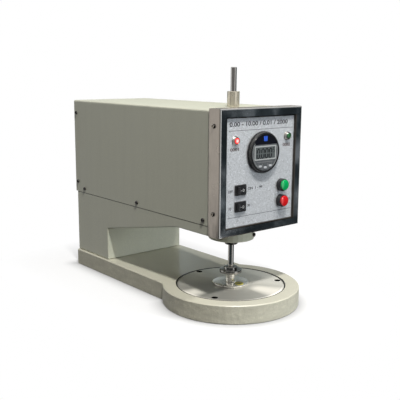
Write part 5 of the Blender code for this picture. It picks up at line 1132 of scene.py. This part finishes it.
class TESTER_OT_front_frame(Operator):
    """Finish the polished frame round the instrument panel"""

    bl_idname = "tester.front_frame"
    bl_label = "Front frame"

    def execute(self, context):
        dress("front_frame", frame_steel("polished_steel"))
        return {"FINISHED"}


class TESTER_OT_instrument_panel(Operator):
    """Finish the panel and print its lines and plain numbers"""

    bl_idname = "tester.instrument_panel"
    bl_label = "Instrument panel"

    def execute(self, context):
        sizes = settings().panel_print
        dress("instrument_panel", silver_panel("panel_silver"))
        inks = {
            "ink": mottled("panel_ink", sizes.ink, 1.5, 0.35, (0.45, 0.6)),
            "warm": mottled("warm_ink", sizes.warm_ink, 1.5, 0.3, (0.45, 0.6)),
        }
        strips = []
        for level in RULED_LEVELS:
            ends = [(x * MM, level * MM) for x in RULED_ENDS]
            strips.append(plate(rod(*ends, sizes.line_width), PANEL_FRONT - PROUD, PANEL_FRONT))
        add_piece("ruled_lines", several(strips), inks["ink"], "body")
        for name, words, size, share, left, level, ink, squeeze in NUMBERS:
            height = share * getattr(sizes, size)
            lettering(name, words, height, left * MM, level * MM, inks[ink], squeeze)
        return {"FINISHED"}


class TESTER_OT_anvil(Operator):
    """Finish the ground anvil and set its three sunk screws"""

    bl_idname = "tester.anvil"
    bl_label = "Anvil"

    def execute(self, context):
        dress("anvil_plate", ground_plate("ground_steel"))
        black = mottled("anvil_screw_steel", settings().steel.sunk, 2, 0.3, (0.7, 0.9), specular=0.0)
        for index in (1, 2, 3):
            hex_screw(f"anvil_screw_{index}", (0, 0, 1), black, 0.55, False)
        return {"FINISHED"}


class TESTER_OT_spindle(Operator):
    """Build the measuring spindle, its collar with set screw, and the presser foot"""

    bl_idname = "tester.spindle"
    bl_label = "Spindle and foot"

    def execute(self, context):
        profile = stations(SPINDLE_RADIUS, SPINDLE_LOW.z, (-0.7, 0), (0, 0.7))
        profile += stations(SPINDLE_RADIUS, SPINDLE_HIGH.z, (0, -0.7), (-0.7, 0))
        shaft = turned_steel("spindle_steel", settings().steel.bright, SPINDLE_MIDDLE, (0.05, 0.065))
        remake_on_spindle("spindle", profile, shaft)
        self.collar()
        self.foot()
        return {"FINISHED"}

    def collar(self):
        low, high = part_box("weight_collar")
        wide = half_width("weight_collar")
        profile = [(SPINDLE_BORE, low.z), (wide - 0.6 * MM, low.z)]
        profile += eased(wide, low.z, 0.6 * MM, -1) + eased(wide, low.z + COLLAR_LIP, 0.6 * MM, 1)
        profile += [(COLLAR_NECK, low.z + COLLAR_LIP)] + eased(COLLAR_NECK, high.z, 0.5 * MM, 1)
        profile += [(SPINDLE_BORE, high.z)]
        dark = turned_steel("collar_steel", (0.33, 0.325, 0.315), SPINDLE_MIDDLE, (0.12, 0.22))
        remake_on_spindle("weight_collar", profile, dark, False)
        hex_screw("collar_screw", FORWARD, blackened("collar_screw_steel", 1.5))

    def foot(self):
        low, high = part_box("presser_foot")
        wide = half_width("presser_foot")
        level = low.z + FOOT_THICKNESS
        profile = [(wide - 0.4 * MM, low.z)]
        profile += eased(wide, low.z, 0.4 * MM, -1) + eased(wide, level, 0.4 * MM, 1)
        profile += stations(FOOT_STUB, level, (1.0, 0), (0, 0.9))
        profile += stations(FOOT_STUB, high.z, (0, -0.5), (-0.5, 0))
        profile += [(SPINDLE_BORE, high.z), (SPINDLE_BORE, SPINDLE_LOW.z)]
        steel = turned_steel("foot_steel", (0.84, 0.82, 0.76), SPINDLE_MIDDLE, (0.08, 0.16), 0.08, 0.8)
        remake_on_spindle("presser_foot", profile, steel)
        spot = SPINDLE_MIDDLE.xy + Vector(LABEL_OFFSET)
        top = level + LABEL_THICKNESS
        yellow = mottled("foot_label", (0.50, 0.43, 0.045), 3, 0.16, (0.3, 0.45))
        label = plate(tilted_oval(spot, 8.2 * MM, 6.3 * MM, 40), level, top, "Z")
        add_piece("foot_label", label, yellow, "measuring_spindle")
        dark = mottled("foot_label_mark", (0.10, 0.09, 0.02), 1, 0.2, (0.4, 0.5))
        outline = tilted_oval(spot - LABEL_HEADING * 0.6 * MM, 2.2 * MM, 3.9 * MM, 24)
        add_piece("foot_label_mark", plate(outline, top, top + PROUD, "Z"), dark, "measuring_spindle")


class TESTER_OT_bushes(Operator):
    """Finish the two guide bushes and set the nose screws"""

    bl_idname = "tester.bushes"
    bl_label = "Bushes and nose screws"

    def execute(self, context):
        centre = middle_of("top_bush")
        dress("top_bush", turned_steel("bush_steel", (0.55, 0.51, 0.42), centre, (0.09, 0.13), 0.10, 0.6))
        dress("lower_bush", turned_steel("dark_bush", (0.10, 0.095, 0.09), centre, (0.2, 0.34)))
        black = blackened("nose_screw_steel")
        for index in (1, 2):
            node = f"nose_screw_{index}"
            out = middle_of(node) - middle_of("lower_bush")
            hex_screw(node, (out.x, out.y, 0), black)
        return {"FINISHED"}


class TESTER_OT_indicator(Operator):
    """Build the digital indicator's bezel, face, display, digits and keys"""

    bl_idname = "tester.indicator"
    bl_label = "Digital indicator"

    def execute(self, context):
        self.sizes = settings().indicator
        middle = middle_of("indicator_face")
        self.centre = Vector((middle.x, 0, middle.z))
        self.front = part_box("indicator_face")[0].y
        self.face = self.front + FACE_RECESS
        self.surface = self.face - FACE_THICKNESS
        self.bezel()
        self.face_halves()
        self.display()
        self.face_print()
        self.keys()
        return {"FINISHED"}

    def bezel(self):
        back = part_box("indicator_face")[1].y
        reach = half_width("indicator_face")
        front = self.front
        body = mottled("indicator_black", self.sizes.body, 2, 0.2, (0.2, 0.3), specular=0.25)
        dress("indicator_case", body)
        profile = [(25.6 * MM, back), (25.6 * MM, front + 6.4 * MM)]
        profile += stations(reach, front, (-0.4, 6.4), (0, 6.0), (0, 3.6), (-0.6, 3.2))
        profile += stations(0, front, (25.9, 0.5), (25.5, 0.1), (25.0, 0), (24.1, 0), (23.7, 0.2))
        profile += [(23.6 * MM, self.face)]
        bezel = turned(profile, "Y", self.centre, BEZEL_STEPS)
        remake("indicator_face", bezel, body, "dial")
        count = self.sizes.tooth_count
        turns = [2 * math.pi * index / count for index in range(count)]
        teeth = several([bezel_tooth(self.centre, turn, reach, front) for turn in turns])
        # The grip teeth are a plain paler grey than the bezel.
        paler = mottled("worn_teeth", self.sizes.teeth, 1, 0.3, (0.3, 0.45))
        add_piece("bezel_teeth", teeth, paler, "dial")

    def printed(self, name, outlines, finish):
        """Thin print on the indicator's face."""
        prints = [plate(outline, self.surface - PROUD, self.surface) for outline in outlines]
        add_piece(name, several(prints), finish, "dial")

    def face_halves(self):
        centre = (self.centre.x, self.centre.z)
        gloss = mottled("upper_face", self.sizes.gloss, 4, 0.3, (0.08, 0.14), coat=0.6)
        outline = disc_part(centre, FACE_RADIUS, FACE_SPLIT, True)
        add_piece("upper_face", plate(outline, self.surface, self.face), gloss, "dial")
        lower = mottled("lower_face", self.sizes.lower, 3, 0.2, (0.35, 0.5))
        outline = disc_part(centre, FACE_RADIUS, FACE_SPLIT - 0.2 * MM, False)
        add_piece("lower_face", plate(outline, self.surface, self.face), lower, "dial")

    def face_print(self):
        centre = (self.centre.x, self.centre.z)
        tick = mottled("scale_ticks", (0.30, 0.31, 0.30), 1, 0.15, (0.3, 0.45))
        ticks = []
        for start, end in TICK_SPANS:
            for degrees in range(start, end, 4):
                turn = math.radians(degrees)
                ends = []
                for radius in (21.6 * MM, 23.2 * MM):
                    ends.append((centre[0] + radius * math.cos(turn), centre[1] + radius * math.sin(turn)))
                ticks.append(rod(*ends, 0.55 * MM))
        self.printed("scale_ticks", ticks, tick)
        lines = [rod(*[(x * MM, z * MM) for x, z in line], 0.35 * MM) for line in FACE_LINES]
        self.printed("face_lines", lines, tick)
        blue = mottled("blue_patch", self.sizes.patch, 1.5, 0.25, (0.2, 0.3))
        patch = round_rectangle((centre[0] + 0.2 * MM, PATCH_LEVEL), 6.6 * MM, 6.4 * MM, 0.8 * MM)
        self.printed("blue_patch", [patch], blue)

    def display(self):
        low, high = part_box("indicator_window")
        pane = ((low.x + high.x) / 2, (low.z + high.z) / 2)
        wide, tall = high.x - low.x, high.z - low.z
        pale = mottled("display_border", self.sizes.surround, 2, 0.12, (0.3, 0.45))
        outer = round_rectangle(pane, wide, tall, 1.2 * MM)
        inner = round_rectangle(pane, wide - 3.0 * MM, tall - 3.0 * MM, 0.8 * MM)
        border = band(outer, inner, self.surface - 0.25 * MM, self.surface + 0.1 * MM)
        add_piece("display_border", border, pale, "dial")
        screen = mottled("display", self.sizes.display, 6, 0.06, (0.12, 0.2), coat=0.5)
        outline = round_rectangle(pane, wide - 0.4 * MM, tall - 0.4 * MM, 1.0 * MM)
        sheet = plate(outline, self.surface - 0.05 * MM, self.face + 0.6 * MM)
        remake("indicator_window", sheet, screen, "dial")
        dark = mottled("digit_ink", self.sizes.digits, 1, 0.2, (0.5, 0.6), specular=0.1)
        marks = []
        bottom = pane[1] - 6.7 * MM
        for index, mark in enumerate(READING):
            left = pane[0] - 15.2 * MM + index * 7.0 * MM + (1.0 * MM if index else 0.0)
            marks += digit_bars(mark, left, bottom, 4.3 * MM, 11.8 * MM, 2.0 * MM)
        left = pane[0] + 14.0 * MM
        marks += digit_bars(FINE_DIGIT, left, bottom + 6.8 * MM, 2.2 * MM, 6.0 * MM, 0.8 * MM)
        point = (pane[0] - 8.9 * MM, bottom - 0.3 * MM)
        marks.append(round_rectangle(point, 1.5 * MM, 1.5 * MM, 0.3 * MM, 2))
        digits = several([plate(outline, self.surface - 0.12 * MM, self.surface) for outline in marks])
        add_piece("display_digits", digits, dark, "dial")

    def keys(self):
        grey = mottled("key_grey", self.sizes.key, 1.5, 0.1, (0.35, 0.5))
        for index in (1, 2, 3):
            node = f"indicator_key_{index}"
            low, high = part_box(node)
            middle = ((low.x + high.x) / 2, (low.z + high.z) / 2)
            width, height = high.x - low.x, high.z - low.z
            levels = ((0.0, high.y), (0.0, low.y + 0.35 * MM), (0.12, low.y + 0.12 * MM), (0.4, low.y))
            rings = []
            for inset, depth in levels:
                corner = (0.9 - inset * 0.6) * MM
                outline = round_rectangle(middle, width - 2 * inset * MM, height - 2 * inset * MM, corner)
                rings.append([Vector((x, depth, z)) for x, z in outline])
            remake(node, skin(rings), grey, f"key_{index}")


class TESTER_OT_lamps(Operator):
    """Build the two pilot lamps with bright bezels and domed lenses"""

    bl_idname = "tester.lamps"
    bl_label = "Pilot lamps"

    def execute(self, context):
        colours = settings().controls
        chrome = mottled("lamp_chrome", (0.50, 0.475, 0.44), 2, 0.35, (0.08, 0.16), 1.0)
        for name in ("power", "ready"):
            bezel, lens = f"{name}_lamp_bezel", f"{name}_lamp_lens"
            centre = middle_of(bezel)
            low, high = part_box(bezel)
            profile = [(4.0 * MM, high.y), (4.0 * MM, PANEL_FRONT)]
            profile += stations(half_width(bezel), PANEL_FRONT, (0, 0), (0, -0.9), (-0.25, -1.2))
            profile += stations(0, PANEL_FRONT, (5.0, -1.35))
            profile += stations(0, low.y, (4.9, 0.4), (4.6, 0), (4.0, 0), (3.6, 0.5), (3.55, 2.0))
            shape = turned(profile, "Y", centre, FITTING_STEPS)
            remake(bezel, shape, chrome, "body")
            low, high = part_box(lens)
            radius = half_width(lens)
            dome = 1.2 * MM
            profile = [(radius, high.y), (radius, low.y + dome)]
            for degrees in (15, 30, 45, 60, 75, 87):
                turn = math.radians(degrees)
                profile.append((radius * math.cos(turn), low.y + dome * (1 - math.sin(turn))))
            if name == "power":
                slot = "lens_red"
                glass = lamp_glow(slot, colours.lit, centre, radius)
            else:
                slot = "lens_green"
                glass = mottled(slot, colours.dark, 0.8, 0.3, (0.08, 0.15), coat=0.6)
            remake(lens, turned(profile, "Y", centre, FITTING_STEPS), glass, "body")
        return {"FINISHED"}


class TESTER_OT_switches(Operator):
    """Finish the rocker switches and lay their marks on the rockers"""

    bl_idname = "tester.switches"
    bl_label = "Rocker switches"

    def execute(self, context):
        colours = settings().controls
        plastic = mottled("switch_plastic", colours.plastic, 1.4, 0.25, (0.34, 0.5), peel=(0.35, 0.02))
        lighter = shaded(colours.plastic, 1.3)
        glossy = mottled("rocker_plastic", lighter, 1.4, 0.25, (0.2, 0.32), peel=(0.35, 0.01))
        mark = mottled("rocker_mark", colours.mark, 1, 0.1, (0.4, 0.5))
        for name in ("mode", "time"):
            rocker = f"{name}_rocker"
            dress(f"{name}_switch_body", plastic)
            dress(rocker, glossy)
            middle = middle_of(rocker)
            level = middle.z - 0.3 * MM
            dash = rod((middle.x - 3.0 * MM, level), (middle.x - 0.8 * MM, level), 0.6 * MM)
            spot = (middle.x + 2.6 * MM, level)
            outer = round_rectangle(spot, 3.4 * MM, 3.6 * MM, 1.65 * MM)
            inner = round_rectangle(spot, 2.2 * MM, 2.4 * MM, 1.05 * MM)
            marks = several([plate(dash, 0, PROUD), band(outer, inner, 0, PROUD)])
            add_piece(f"{rocker}_marks", laid_on(marks, rocker), mark, f"{name}_switch")
        dress("mains_inlet", plastic)
        dress("power_rocker", glossy)
        return {"FINISHED"}


class TESTER_OT_buttons(Operator):
    """Build the start and stop buttons with domed caps in black collars"""

    bl_idname = "tester.buttons"
    bl_label = "Push buttons"

    def execute(self, context):
        colours = settings().controls
        plastic = mottled("collar_plastic", colours.plastic, 1.4, 0.25, (0.25, 0.38))
        for name, colour, slot in (
            ("start", colours.start, "button_green"),
            ("stop", colours.stop, "button_red"),
        ):
            body, cap = f"{name}_button_body", f"{name}_button_cap"
            centre = middle_of(body)
            wide = half_width(body)
            low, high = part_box(body)
            profile = [(6.0 * MM, high.y), (6.0 * MM, PANEL_FRONT), (wide, PANEL_FRONT)]
            profile += stations(wide, low.y, (0, 0.8), (-0.2, 0.25), (-0.6, 0))
            profile += stations(0, low.y, (7.5, 0), (7.35, 0.3), (7.35, 5.4), (3.1, 5.5))
            shape = turned(profile, "Y", centre, FITTING_STEPS)
            remake(body, shape, plastic, "body")
            low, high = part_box(cap)
            gloss = mottled(f"button_{name}", colour, 3, 0.06, (0.10, 0.18), coat=0.7)
            profile = [(3.0 * MM, high.y)] + self.cap_profile(half_width(cap), low.y)
            shape = turned(profile, "Y", centre, FITTING_STEPS)
            remake(cap, shape, gloss, f"{name}_button")
        return {"FINISHED"}

    def cap_profile(self, radius, front):
        """Stem, rim and dome of a cap."""
        dome, edge, drop = 0.9 * MM, 0.8 * MM, 0.7 * MM
        profile = [(3.0 * MM, front + 5.6 * MM), (radius, front + 5.6 * MM), (radius, front + dome + drop)]
        for degrees in (25, 50, 70, 85):
            turn = math.radians(degrees)
            across = radius - edge * (1 - math.cos(turn))
            profile.append((across, front + dome + drop * (1 - math.sin(turn))))
        for share in (0.75, 0.5, 0.25, 0.04):
            profile.append(((radius - edge) * share, front + dome * share ** 2))
        return profile


class TESTER_OT_studio(Operator):
    """Set the floor, the lamps, the world light and the camera"""

    bl_idname = "tester.studio"
    bl_label = "Studio"

    def execute(self, context):
        values = settings().studio
        scene = context.scene
        scene.view_settings.view_transform = "Standard"
        scene.world = studio_world(values)
        corners = [(x * FLOOR_HALF, y * FLOOR_HALF, 0) for x, y in ((-1, -1), (1, -1), (1, 1), (-1, 1))]
        four_cornered("floor", corners, floor_finish(values))
        for name, place, aimed, size, colour, glossy in LAMPS:
            power = getattr(values, f"{name}_power")
            made = lamp(f"{name}_lamp", place, (0.0, 0.0, aimed), size, power, colour)
            made.visible_glossy = glossy
        for name, headings, distances, levels, colour in CARDS:
            card(name, headings, distances, levels, getattr(values, colour))
        set_camera(scene, values)
        return {"FINISHED"}


class TESTER_PT_panel(Panel):
    """Buttons for each group of pieces"""

    bl_label = "Thickness tester"
    bl_idname = "TESTER_PT_panel"
    bl_space_type = "VIEW_3D"
    bl_region_type = "UI"
    bl_category = "Tester"

    def draw(self, context):
        column = self.layout.column()
        for step in STEPS:
            column.operator(step.bl_idname)
        for group, made in SETTINGS:
            box = column.box()
            box.label(text=made.__name__)
            for name in made.__annotations__:
                box.prop(getattr(context.scene.tester, group), name)


STEPS = (
    TESTER_OT_castings,
    TESTER_OT_cover,
    TESTER_OT_front_frame,
    TESTER_OT_instrument_panel,
    TESTER_OT_anvil,
    TESTER_OT_spindle,
    TESTER_OT_bushes,
    TESTER_OT_indicator,
    TESTER_OT_lamps,
    TESTER_OT_switches,
    TESTER_OT_buttons,
    TESTER_OT_studio,
)
CLASSES = (*(made for _, made in SETTINGS), TesterSettings, *STEPS, TESTER_PT_panel)


def register():
    for made in CLASSES:
        bpy.utils.register_class(made)
    bpy.types.Scene.tester = PointerProperty(type=TesterSettings)


def unregister():
    del bpy.types.Scene.tester
    for made in reversed(CLASSES):
        bpy.utils.unregister_class(made)


def main():
    register()
    for step in STEPS:
        group, action = step.bl_idname.split(".")
        getattr(getattr(bpy.ops, group), action)()
    bpy.context.view_layer.update()


if __name__ == "__main__":
    main()
